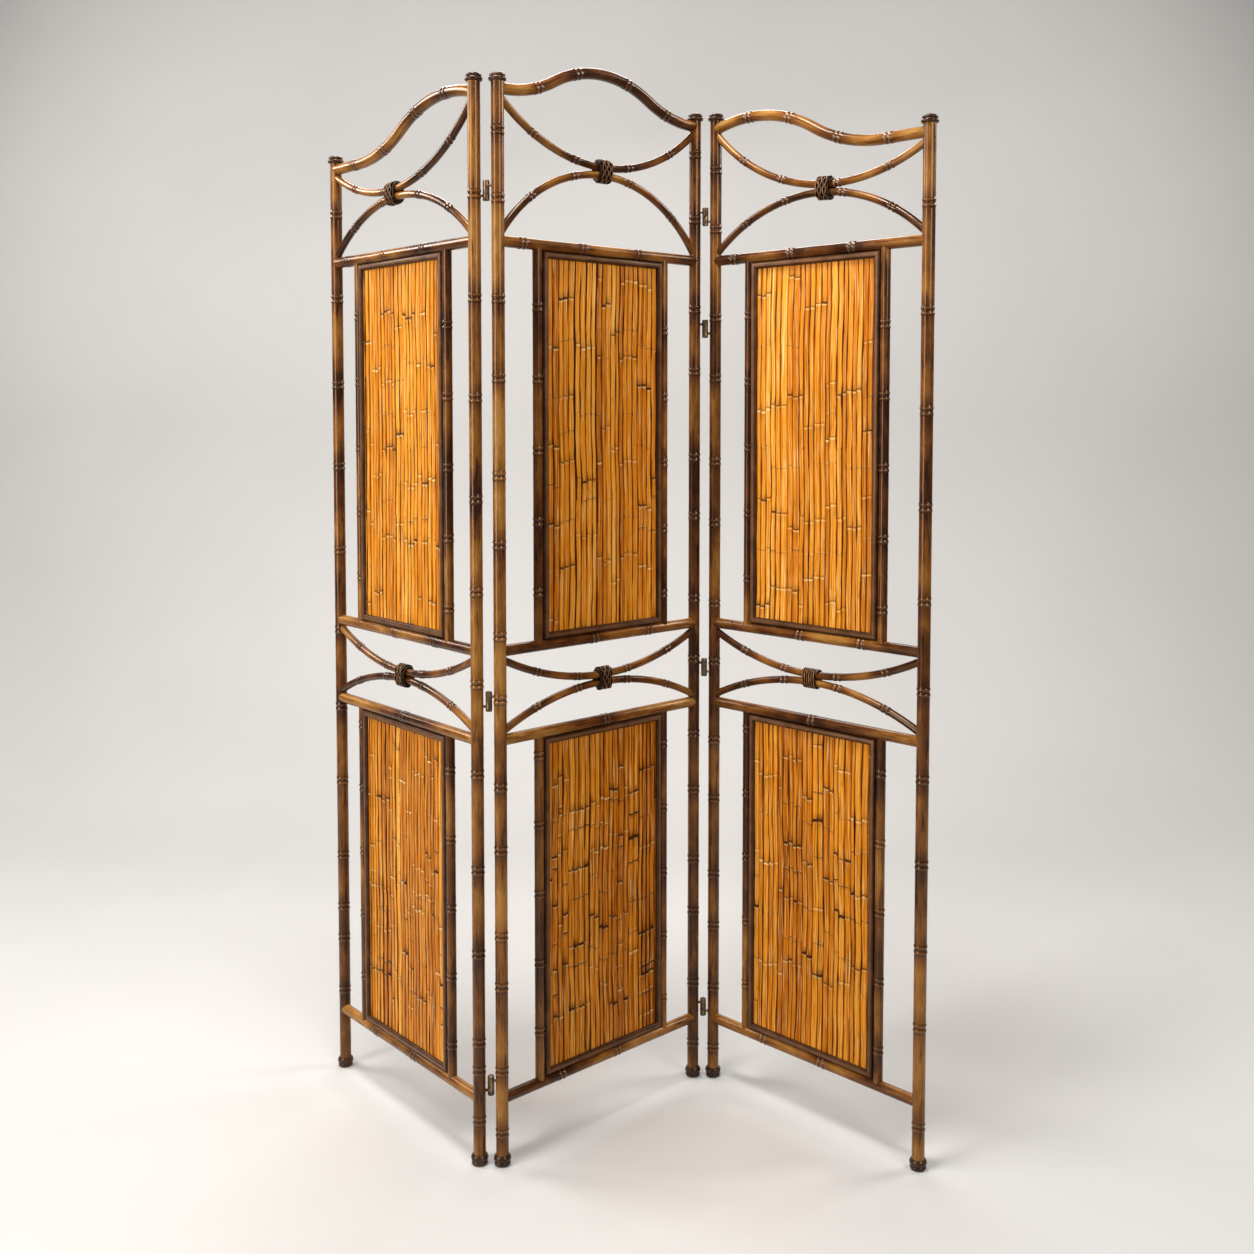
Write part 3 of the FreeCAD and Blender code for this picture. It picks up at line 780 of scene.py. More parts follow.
@dataclass
class Pole:
    """One length of bamboo with its joints, modelled upright and then laid or bent."""

    name: str
    length: float
    radius: float
    joints: Sequence[float]
    seed: int
    ridge: float = 1.0 * MM
    longest: float = 70 * MM
    tone: float = 0.0
    flats: int = 20
    grain_step: Triple = (0.37, 0.71, 1.93)
    # Millimetres from the joint, and share of the ridge
    swell: Marks = (
        (-10.0, 0.0), (-7.4, 0.10), (-6.2, 0.55), (-5.0, 1.0), (-3.6, 0.80), (-2.0, 0.10), (0.0, -0.25),
        (2.0, 0.10), (3.6, 0.80), (5.0, 1.0), (6.2, 0.55), (7.4, 0.10), (10.0, 0.0),
    )
    piece: Optional[Piece] = field(default=None, init=False)

    def outline(self) -> Outline:
        """Outline of the pole from one end to the other, with a double ridge at each joint.

        Returns:
            (radius, height) pairs.
        """
        line = [(self.radius, 0.0)]
        for joint in self.joints:
            line += [(self.radius + self.ridge * out, joint + along * MM) for along, out in self.swell]
        line.append((self.radius, self.length))
        ring = [(0.0, 0.0)]
        for (r0, z0), (r1, z1) in zip(line, line[1:]):
            parts = max(1, math.ceil((z1 - z0) / self.longest))
            ring += [(r0 + (r1 - r0) * n / parts, z0 + (z1 - z0) * n / parts) for n in range(parts)]
        return ring + [line[-1], (0.0, self.length)]

    def build(self) -> Piece:
        """Turn the pole and mark it for its finish.

        Returns:
            The upright pole, its foot at the origin.
        """
        self.piece = turned(self.name, self.outline(), self.flats)
        rows = points_of(self.piece)
        nearest = np.abs(rows[:, 2:3] - np.array([self.joints])).min(axis=1)
        grain = rows + np.array(self.grain_step) * self.seed
        store(self.piece, joint=nearest, pole=grain, tone=self.tone)
        smooth(self.piece)
        return self.piece

    def bend(self, path: "Path") -> Piece:
        """Bend the pole along a path of arcs.

        Args:
            path: the path in the panel's plane.

        Returns:
            The bent pole.
        """
        rail = path.curve(self.name + "_line")
        take(self.piece)
        modifier = self.piece.modifiers.new("bend", "CURVE")
        modifier.object = rail
        modifier.deform_axis = "POS_Z"
        bpy.ops.object.modifier_apply(modifier=modifier.name)
        bpy.data.objects.remove(rail)
        return self.piece


@dataclass(frozen=True)
class Arc:
    """Circular arc in the panel's plane: centre, radius and end angles from the X axis."""

    x: float
    z: float
    radius: float
    start: float
    end: float

    @property
    def length(self) -> float:
        """Length along the arc."""
        return self.radius * abs(self.end - self.start)

    def at(self, angle: float) -> Vector:
        """Point of the arc at an angle."""
        return Vector((self.x + self.radius * math.cos(angle), 0, self.z + self.radius * math.sin(angle)))

    def heading(self, angle: float) -> Vector:
        """Direction of travel at an angle."""
        way = 1 if self.end > self.start else -1
        return Vector((-math.sin(angle), 0, math.cos(angle))) * way


@dataclass
class Path:
    """Smooth path of arcs in the panel's plane, which meet end to end."""

    arcs: Sequence[Arc]
    knot_angle: float = math.radians(25)
    resolution: int = 24

    @property
    def length(self) -> float:
        """Length of the whole path."""
        return sum(arc.length for arc in self.arcs)

    def curve(self, name: str) -> Piece:
        """Draw the path as a curve object.

        Args:
            name: name of the curve.

        Returns:
            The curve.
        """
        knots = []
        for arc in self.arcs:
            parts = max(2, math.ceil(abs(arc.end - arc.start) / self.knot_angle))
            turn = (arc.end - arc.start) / parts
            reach = 4 / 3 * math.tan(abs(turn) / 4) * arc.radius
            for number in range(parts + 1):
                angle = arc.start + turn * number
                pull = arc.heading(angle) * reach
                if number == 0 and knots:
                    knots[-1] = (*knots[-1][:2], pull)
                else:
                    knots.append((arc.at(angle), pull, pull))
        leave_edit()
        bpy.ops.curve.primitive_bezier_curve_add()
        line = bpy.context.object
        line.name = name
        spline = line.data.splines[0]
        spline.bezier_points.add(len(knots) - 2)
        for knot, (place, before, after) in zip(spline.bezier_points, knots):
            knot.handle_left_type = knot.handle_right_type = "FREE"
            knot.co = place
            knot.handle_left = place - before
            knot.handle_right = place + after
        line.data.resolution_u = self.resolution
        return line


def level_run(x0: float, x1: float, z: float) -> Arc:
    """Nearly straight level run from x0 to x1 at a height, drawn as a very flat arc."""
    return Arc(x0, z + FLAT, FLAT, -QUARTER, -QUARTER + (x1 - x0) / FLAT)


@dataclass
class BentWork:
    """The bent poles of one panel: top rail, swags and arches, worked out as a joiner would."""

    hand: Hand
    middle_drop: float = 24.6 * MM
    crown_rise: float = 55.6 * MM
    crest_drop: float = 19 * MM
    crest_inset: float = 80 * MM
    dip_drop: float = 27 * MM
    dip_inset: float = 88 * MM
    middle_rise: float = 108 * MM
    side_rise: float = 80 * MM
    waist_rise: float = 50 * MM
    tuck: float = 8 * MM
    overrun: float = 7 * MM
    first_slope: float = math.pi / 6
    rounds: int = 12
    upper_arch: Arc = field(init=False)
    waist_arch: Arc = field(init=False)
    upper_swag: Arc = field(init=False)
    waist_swag: Arc = field(init=False)

    def camel_back(self) -> tuple[Path, Span, Span]:
        """Top rail of the middle panel.

        Returns:
            Its path, and height and half depth at its two ends.
        """
        span = SIZES.clear_span
        low = SIZES.hinged_height - self.middle_drop
        turn = 2 * math.atan2(self.crown_rise, span)
        radius = span / (2 * math.sin(turn))
        arcs = [
            level_run(-span - self.tuck, -span, low),
            Arc(-span, low + radius, radius, -QUARTER, -QUARTER + turn),
            Arc(0, low + self.crown_rise - radius, radius, QUARTER + turn, QUARTER - turn),
            Arc(span, low + radius, radius, -QUARTER - turn, -QUARTER),
            level_run(span, span + self.tuck, low),
        ]
        end = (low, SIZES.rail_r)
        return Path(arcs), end, end

    def ogee(self) -> tuple[Path, Span, Span]:
        """Top rail of a wing, drawn with its hinged post on the left.

        Returns:
            Its path, and height and half depth at the hinged and the free end.
        """
        crest_x = -SIZES.half_span + self.crest_inset
        crest_z = SIZES.hinged_height - self.crest_drop
        dip_x = SIZES.half_span - self.dip_inset
        dip_z = SIZES.free_height - self.dip_drop
        run = dip_x - crest_x
        turn = 2 * math.atan2(crest_z - dip_z, run)
        radius = run / (2 * math.sin(turn))
        at_post = math.asin((self.crest_inset - SIZES.post_r) / radius)
        lead = at_post + self.tuck / radius
        arcs = [
            Arc(crest_x, crest_z - radius, radius, QUARTER + lead, QUARTER - turn),
            Arc(dip_x, dip_z + radius, radius, -QUARTER - turn, -QUARTER),
            level_run(dip_x, SIZES.clear_span + self.tuck, dip_z),
        ]
        hinged = (crest_z - radius * (1 - math.cos(at_post)), SIZES.rail_r / math.cos(at_post))
        return Path(arcs), hinged, (dip_z, SIZES.rail_r)

    def arch(self, rail_z: float, rise: float) -> Arc:
        """Arch that stands on a rail between the posts.

        Args:
            rail_z: height of the rail.
            rise: from its feet to its crown.

        Returns:
            The arch.
        """
        span = SIZES.clear_span
        slope = 2 * math.atan2(rise, span)
        foot = rail_z + SIZES.rail_r + SIZES.bent_r / math.cos(slope) + SIZES.corner_gap
        radius = (span ** 2 + rise ** 2) / (2 * rise)
        half = math.atan2(span, radius - rise)
        return Arc(0, foot + rise - radius, radius, QUARTER + half, QUARTER - half)

    def swag(self, left: Span, right: Span, arch: Arc) -> Arc:
        """Swag hung from below a rail until it lies on an arch.

        Args:
            left: height of the rail and its half depth at the left post.
            right: the same at the right post.
            arch: the arch below.

        Returns:
            The swag.
        """
        span = SIZES.clear_span
        slopes = [self.first_slope] * 2
        for _ in range(self.rounds):
            ends = []
            for x, (z, half), slope in zip((-span, span), (left, right), slopes):
                ends.append(Vector((x, z - half - SIZES.bent_r / math.cos(slope) - SIZES.corner_gap)))
            middle = (ends[0] + ends[1]) / 2
            chord = ends[1] - ends[0]
            half = chord.length / 2
            normal = Vector((-chord.y, chord.x)).normalized()
            reach = arch.radius + 2 * SIZES.bent_r + SIZES.lashed_gap
            away = middle - Vector((arch.x, arch.z))
            p = 2 * normal.dot(away)
            q = away.dot(away) - half ** 2 - reach ** 2
            a = p ** 2 - 4 * reach ** 2
            b = 2 * p * q
            c = q ** 2 - 4 * reach ** 2 * half ** 2
            rise = (math.sqrt(b ** 2 - 4 * a * c) - b) / (2 * a)
            centre = middle + normal * rise
            angles = [math.atan2(end.y - centre.y, end.x - centre.x) for end in ends]
            slopes = [abs(angle + QUARTER) for angle in angles]
        return Arc(centre.x, centre.y, math.hypot(half, rise), angles[0], angles[1])

    def lines(self) -> dict[str, Path]:
        """Paths of all the bent poles.

        Returns:
            Path by piece.
        """
        if self.hand is Hand.NONE_FREE:
            rail, left, right = self.camel_back()
            rise = self.middle_rise
        else:
            rail, left, right = self.ogee()
            rise = self.side_rise
        head, sill, low_head, _ = SIZES.rail_heights
        self.upper_arch = self.arch(head, rise)
        self.waist_arch = self.arch(low_head, self.waist_rise)
        self.upper_swag = self.swag(left, right, self.upper_arch)
        below = (sill, SIZES.rail_r)
        self.waist_swag = self.swag(below, below, self.waist_arch)
        return {
            "top_rail": rail,
            "upper_swag": self.run_on(self.upper_swag),
            "upper_arch": self.run_on(self.upper_arch),
            "middle_swag": self.run_on(self.waist_swag),
            "middle_arch": self.run_on(self.waist_arch),
        }

    def run_on(self, arc: Arc) -> Path:
        """Path of an arc that runs on past both ends, into the posts."""
        more = math.copysign(self.overrun / arc.radius, arc.end - arc.start)
        return Path([Arc(arc.x, arc.z, arc.radius, arc.start - more, arc.end + more)])


def joints_along(length: float, pitch: float, first: float, keep_clear: Marks) -> list[float]:
    """Places of the bamboo joints on a pole, apart from where another piece meets it.

    Args:
        length: length of the pole.
        pitch: distance between joints.
        first: place of the first one.
        keep_clear: (place, reach) pairs to stay away from.

    Returns:
        Places from the foot of the pole.
    """
    places = []
    place = first
    while place < length - END_CLEAR:
        if place > END_CLEAR and all(abs(place - other) > reach for other, reach in keep_clear):
            places.append(place)
        place += pitch
    return places


@dataclass
class Posts:
    """The two posts of a panel, with the heights of their joints over the floor in millimetres."""

    place: PanelPlace
    finish: Paint
    joints: dict[str, tuple[int, ...]] = field(default_factory=lambda: {
        "left_outer_post": (150, 251, 311, 410, 553, 694, 840, 990, 1147, 1298, 1457, 1612),
        "left_inner_post": (75, 160, 207, 356, 496, 656, 805, 956, 1107, 1271, 1432, 1597),
        "middle_left_post": (55, 160, 302, 387, 530, 635, 780, 884, 1033, 1145, 1303, 1430, 1590, 1698),
        "middle_right_post": (65, 180, 317, 415, 547, 652, 792, 905, 1057, 1165, 1322, 1435, 1597, 1715),
        "right_inner_post": (56, 172, 289, 387, 530, 640, 787, 895, 1045, 1157, 1310, 1420, 1580, 1687),
        "right_outer_post": (72, 239, 370, 510, 651, 795, 942, 1095, 1250, 1410, 1581),
    })
    # Lighter or darker per post: partly the pole's own tone, partly painted light and shade,
    # middle_right_post darkened as if shaded in the fold and middle_left_post lightened as if lit
    tones_and_painted_light: dict[str, float] = field(default_factory=lambda: {
        "left_outer_post": -0.11,
        "left_inner_post": 0.0,
        "middle_left_post": 0.21,
        "middle_right_post": -0.29,
        "right_inner_post": -0.10,
        "right_outer_post": -0.11,
    })

    def build(self, seed: int) -> None:
        """Model both posts and hand them over.

        Args:
            seed: number that varies their grain.
        """
        where = self.place.matrix()
        for number, (node, height) in enumerate(zip(self.place.posts, self.place.heights())):
            length = height - SIZES.foot_height - SIZES.cap_height
            joints = [joint * MM - SIZES.foot_height for joint in self.joints[node]]
            pole = Pole(node + "_pole", length, SIZES.post_r, joints, seed + number, tone=self.tones_and_painted_light[node])
            post = pole.build()
            x = SIZES.half_span * (2 * number - 1)
            settle(post, where @ Matrix.Translation((x, 0, SIZES.foot_height)))
            hand_over(post, self.place.body, [node], self.finish)


@dataclass
class Rails:
    """The four straight rails of a panel."""

    place: PanelPlace
    finish: Paint
    names: tuple[str, ...] = ("upper_head_rail", "upper_sill_rail", "lower_head_rail", "bottom_rail")
    pitch: float = 128 * MM
    firsts: tuple[float, ...] = (45 * MM, 70 * MM, 96 * MM, 122 * MM)
    tuck: float = 8 * MM
    stile_clear: float = 24 * MM

    def build(self, seed: int) -> None:
        """Model the rails and hand them over.

        Args:
            seed: number that varies their grain.
        """
        where = self.place.matrix()
        half = SIZES.clear_span + self.tuck
        clear = [(half + side * SIZES.stile_x, self.stile_clear) for side in SIDES]
        along = Matrix.Rotation(QUARTER, 4, "Y")
        for number, (name, z) in enumerate(zip(self.names, SIZES.rail_heights)):
            joints = joints_along(2 * half, self.pitch, self.firsts[number], clear)
            node = self.place.name + "_" + name
            rail = Pole(node + "_pole", 2 * half, SIZES.rail_r, joints, seed + number).build()
            settle(rail, where @ Matrix.Translation((-half, 0, z)) @ along)
            hand_over(rail, self.place.body, [node], self.finish)


@dataclass
class Stiles:
    """The four stiles beside the infills of a panel."""

    place: PanelPlace
    finish: Paint
    pitch: float = 118 * MM
    firsts: Span = (86 * MM, 58 * MM)
    tuck: float = 6 * MM

    def build(self, seed: int) -> None:
        """Model the stiles as one piece and hand it over.

        Args:
            seed: number that varies their grain.
        """
        where = self.place.matrix()
        made = []
        for low, high in SIZES.bays:
            foot = low + SIZES.rail_r - self.tuck
            length = high - SIZES.rail_r + self.tuck - foot
            for side, first in zip(SIDES, self.firsts):
                joints = joints_along(length, self.pitch, first, ())
                name = f"{self.place.name}_stile_{len(made)}"
                pole = Pole(name, length, SIZES.stile_r, joints, seed + len(made)).build()
                made.append(settle(pole, where @ Matrix.Translation((side * SIZES.stile_x, 0, foot))))
        whole = joined(self.place.name + "_stile_poles", made)
        hand_over(whole, self.place.body, [self.place.name + "_stiles"], self.finish)


@dataclass
class BentPoles:
    """Top rail, swags, arches and rattan bindings of a panel."""

    place: PanelPlace
    rail_finish: Paint
    bent_finish: Paint
    rattan_finish: Paint
    shares: tuple[float, ...] = (0.17, 0.37, 0.62, 0.84)
    ridge: float = 0.9 * MM
    longest: float = 9 * MM

    def build(self, seed: int) -> None:
        """Model the bent poles and their bindings and hand them over.

        Args:
            seed: number that varies their grain.
        """
        where = self.place.matrix()
        if self.place.hand is Hand.LEFT_FREE:
            where = where @ Matrix.Scale(-1, 4, (1, 0, 0))
        work = BentWork(self.place.hand)
        for number, (name, path) in enumerate(work.lines().items()):
            node = self.place.name + "_" + name
            radius, slot, finish = SIZES.bent_r, "bent_bamboo", self.bent_finish
            if name == "top_rail":
                radius, slot, finish = SIZES.rail_r, "rail_bamboo", self.rail_finish
            joints = [share * path.length for share in self.shares]
            pole = Pole(node + "_pole", path.length, radius, joints, seed + number, self.ridge, self.longest)
            pole.build()
            bent = settle(pole.bend(path), where)
            face_out(bent)
            hand_over(bent, self.place.body, [node], finish)
        coils = []
        for upper, lower, plaited in (
            (work.upper_swag, work.upper_arch, True),
            (work.waist_swag, work.waist_arch, self.place.hand is not Hand.RIGHT_FREE),
        ):
            coils.append(settle(Lashing(upper, lower, plaited).build(f"{self.place.name}_lashing"), where))
        whole = joined(self.place.name + "_lashings", coils)
        face_out(whole)
        hand_over(whole, self.place.body, [self.place.name + "_bindings"], self.rattan_finish)


@dataclass
class Lashing:
    """Rattan wound round a swag and an arch where they touch, and a plaited collar over most coils."""

    upper: Arc
    lower: Arc
    plaited: bool
    strand: float = 4.2 * MM
    turns: int = 6
    tail: float = 0.45
    turn_gap: float = 0.5 * MM
    slack: float = 0.5 * MM
    steps: int = 22
    # Painted shade on the coil under the plait
    covered_crown: float = 0.64
    plait_strand: float = 3.2 * MM
    plait_pitch: float = 5.0 * MM
    plait_swing: float = 1.3 * MM
    plait_sink: float = 0.5 * MM
    plait_start: float = 0.25
    plait_repeats: int = 7
    plait_steps: int = 110
    lanes: tuple[int, ...] = (-2, -1, 0, 1, 2)

    def loop_point(self, share: float, lift: float) -> Span:
        """Point of the loop round both poles.

        Args:
            share: how far round, from 0 at the lower back.
            lift: distance of the strand's centre from the poles.

        Returns:
            Depth and height across the lashing.
        """
        half = SIZES.bent_r + SIZES.lashed_gap / 2
        r = SIZES.bent_r + lift
        straight = 2 * half
        bend = math.pi * r
        whole = 2 * (straight + bend)
        s = (share % 1.0) * whole
        if s < straight:
            return r, s - half
        s -= straight
        if s < bend:
            angle = s / r
            return r * math.cos(angle), half + r * math.sin(angle)
        s -= bend
        if s < straight:
            return -r, half - s
        angle = (s - straight) / r
        return -r * math.cos(angle), -half - r * math.sin(angle)

    def strand_curve(self, name: str, places: Sequence[Vector], radius: float) -> Piece:
        """Round strand along a run of points.

        Args:
            name: name of the object.
            places: points along its centre.
            radius: its radius.

        Returns:
            The strand as a mesh.
        """
        leave_edit()
        bpy.ops.curve.primitive_nurbs_path_add()
        line = bpy.context.object
        line.name = name
        spline = line.data.splines[0]
        spline.points.add(len(places) - len(spline.points))
        for knot, place in zip(spline.points, places):
            knot.co = (*place, 1.0)
        spline.order_u = 3
        spline.use_endpoint_u = True
        spline.resolution_u = 2
        line.data.bevel_depth = radius
        line.data.bevel_resolution = 3
        line.data.use_fill_caps = True
        take(line)
        bpy.ops.object.convert(target="MESH")
        made = bpy.context.object
        smooth(made, degrees=60)
        return made

    def build(self, name: str) -> Piece:
        """Wind the coil and plait the collar.

        Args:
            name: name of the object.

        Returns:
            The lashing in the panel's frame.
        """
        top = Vector((self.upper.x, 0, self.upper.z))
        foot = Vector((self.lower.x, 0, self.lower.z))
        out = (top - foot).normalized()
        along = Vector((out.z, 0, -out.x))
        back = Vector((0, 1, 0))
        middle = foot + out * (self.lower.radius + SIZES.bent_r + SIZES.lashed_gap / 2)
        pitch = self.strand + self.turn_gap
        lift = self.slack + self.strand / 2
        width = pitch * (self.turns + 0.5)

        def spot(share: float, advance: float, height: float) -> Vector:
            """Point on the lashing, so far round it, along the poles and off them."""
            depth, rise = self.loop_point(share, height)
            return middle + along * advance + back * depth + out * rise

        coil = []
        for number in range(round((self.turns + self.tail) * self.steps) + 1):
            share = number / self.steps
            coil.append(spot(share, share * pitch - width / 2, lift))
        pieces = [self.strand_curve(name, coil, self.strand / 2)]
        over = self.slack + self.strand + self.plait_strand / 2 - self.plait_sink
        for lane in self.lanes if self.plaited else ():
            # Neighbouring strands swing opposite ways
            swing = self.plait_swing if lane % 2 else -self.plait_swing
            plait = []
            for number in range(self.plait_steps + 1):
                share = number / self.plait_steps
                aside = swing * math.cos(TURN * self.plait_repeats * share)
                plait.append(spot(share + self.plait_start, lane * self.plait_pitch + aside, over))
            pieces.append(self.strand_curve(name, plait, self.plait_strand / 2))
        # Painted shade between the turns: crown falls where a strand's surface faces along the lashing
        for piece in pieces:
            normals = np.zeros(len(piece.data.vertices) * 3)
            piece.data.vertex_normals.foreach_get("vector", normals)
            crown = 1 - np.abs(normals.reshape(-1, 3) @ np.array(along))
            covered = self.plaited and piece is pieces[0]
            store(piece, crown=crown * (self.covered_crown if covered else 1.0))
        return joined(name, pieces)


# Infill


@dataclass
class ReedPattern:
    """One split-bamboo strip with its joints, kept as a pattern for copies."""

    length: float
    joints: Sequence[float]
    width: float = 11.1 * MM
    thickness: float = 4.2 * MM
    round_edge: float = 1.3 * MM
    crown: float = 0.45 * MM
    ring_pitch: float = 30 * MM
    joint_clear: float = 9 * MM
    ring_match: float = 0.05 * MM
    # Millimetres from the joint, and millimetres that the rind rises there
    rings: Marks = ((-5.0, 0.0), (-1.9, 0.75), (0.0, -0.40), (1.9, 0.55), (5.0, 0.0))
    faintest: float = 0.35
    worn_mark: float = 0.35
    # Strengths of the painted shade in the seams
    seam_shades: tuple[float, ...] = (0.3, 0.6, 0.85, 1.0)
    grain_reach: float = 90.0
    rind_limit: float = 0.4 * MM
    narrowing: float = 0.26
    edge_wave: Span = (0.10, 0.26)
    rise_mm: Span = (-0.2, 0.7)
    tilt: float = 0.09
    waver: float = 0.4 * MM
    waver_wave: Span = (0.09, 0.2)
    lap: float = 0.4 * MM
    back_mm: float = 0.3
    slip_mm: float = 4.5
    piece: Optional[Piece] = field(default=None, init=False)

    def build(self, name: str) -> None:
        """Model the strip with its rind to the front and its foot at the origin.

        Args:
            name: name of the object.
        """
        leave_edit()
        bpy.ops.mesh.primitive_cube_add(size=1)
        strip = bpy.context.object
        strip.name = name
        strip.scale = (self.width, self.thickness, self.length)
        strip.location = (0, 0, self.length / 2)
        bpy.ops.object.transform_apply(location=True, rotation=True, scale=True)
        mesh = strip.data
        for face in mesh.polygons:
            face.select = False
        for edge in mesh.edges:
            ends = [mesh.vertices[i].co for i in edge.vertices]
            edge.select = all(end.y < 0 for end in ends) and abs(ends[0].z - ends[1].z) > self.length / 2
        for vertex in mesh.vertices:
            vertex.select = vertex.co.y < 0
        bpy.ops.object.mode_set(mode="EDIT")
        bpy.ops.mesh.select_mode(type="EDGE")
        bpy.ops.mesh.bevel(offset=self.round_edge, segments=3, profile=0.5, affect="EDGES")
        heights = [joint + along * MM for joint in self.joints for along, _ in self.rings]
        plain = [self.ring_pitch * n for n in range(1, math.ceil(self.length / self.ring_pitch))]
        heights += [z for z in plain if all(abs(z - joint) > self.joint_clear for joint in self.joints)]
        for height in heights:
            bpy.ops.mesh.select_all(action="SELECT")
            bpy.ops.mesh.bisect(plane_co=(0, 0, height), plane_no=(0, 0, 1))
        bpy.ops.object.mode_set(mode="OBJECT")
        rows = points_of(strip)
        for joint in self.joints:
            for along, lift in self.rings:
                ring = np.abs(rows[:, 2] - joint - along * MM) < self.ring_match
                rows[ring & (rows[:, 1] < 0), 1] -= lift * MM
        rows[:, 1] += np.where(rows[:, 1] < 0, self.crown * (2 * rows[:, 0] / self.width) ** 2, 0)
        mesh.vertices.foreach_set("co", rows.ravel())
        smooth(strip, degrees=50)
        self.piece = strip

    def mark(self, strip: Piece, tone: float, wear: float, marked: Marks, dice: random.Random) -> None:
        """Store what the finish reads on a strip that still has the shape of the pattern.

        Args:
            strip: the strip.
            tone: how light it is, from 0 to 1, painted shade included.
            wear: how cracked it is, 0 where hardly.
            marked: how dark its scar is and how strong the painted highlight on its lip is, joint by joint.
            dice: seeded numbers.
        """
        rows = points_of(strip)
        joints = np.array(self.joints)
        nearest = np.abs(rows[:, 2:3] - joints[None, :]).argmin(axis=1)
        most = 1.0 + self.worn_mark * wear
        marks = np.array(marked) * np.array([[dice.uniform(self.faintest, most)] for _ in joints])
        # Painted shade: how dark the seam on each side of the strip is
        left_seam_shade, right_seam_shade = (dice.choice(self.seam_shades) for _ in SIDES)
        cane = rows / np.array([self.width / 2, 1.0, 1.0])
        cane[:, 2] += dice.uniform(0, self.grain_reach)
        store(
            strip,
            joint=rows[:, 2] - joints[nearest],
            scar=marks[nearest, 0],
            flare=marks[nearest, 1],
            tone=tone,
            wear=wear,
            seam=np.where(rows[:, 0] < 0, left_seam_shade, right_seam_shade),
            cane=cane,
        )

    def shape(self, strip: Piece, width: float, dice: random.Random) -> None:
        """Give a strip its own width, a wavering rind and a back that laps behind its neighbours.

        Args:
            strip: the strip.
            width: its width.
            dice: seeded numbers.
        """
        rows = points_of(strip)
        x, y, z = rows.T
        front = y < self.rind_limit
        lengths = np.searchsorted(self.joints, z)
        for side in SIDES:
            steps = np.array([dice.uniform(0.0, 1.0) ** 2 for _ in range(len(self.joints) + 1)])
            turn = TURN / dice.uniform(*self.edge_wave)
            wave = 0.5 + 0.5 * np.sin(z * turn + dice.uniform(0, TURN))
            narrow = 1 - self.narrowing * steps[lengths] * wave
            own = front & (x * side > 0)
            x[own] *= narrow[own]
        x *= width / self.width
        lift = dice.uniform(*self.rise_mm) * MM + x * dice.uniform(-self.tilt, self.tilt)
        y += np.where(front, lift, 0.0)
        waver = self.waver * np.sin(z * TURN / dice.uniform(*self.waver_wave) + dice.uniform(0, TURN))
        x += np.where(front, waver, np.sign(x) * self.lap)
        y -= np.where(front, 0.0, dice.uniform(0.0, self.back_mm) * MM)
        z[:] = np.clip(z + dice.uniform(-self.slip_mm, self.slip_mm) * MM, 0, self.length)
        strip.data.vertices.foreach_set("co", rows.ravel())


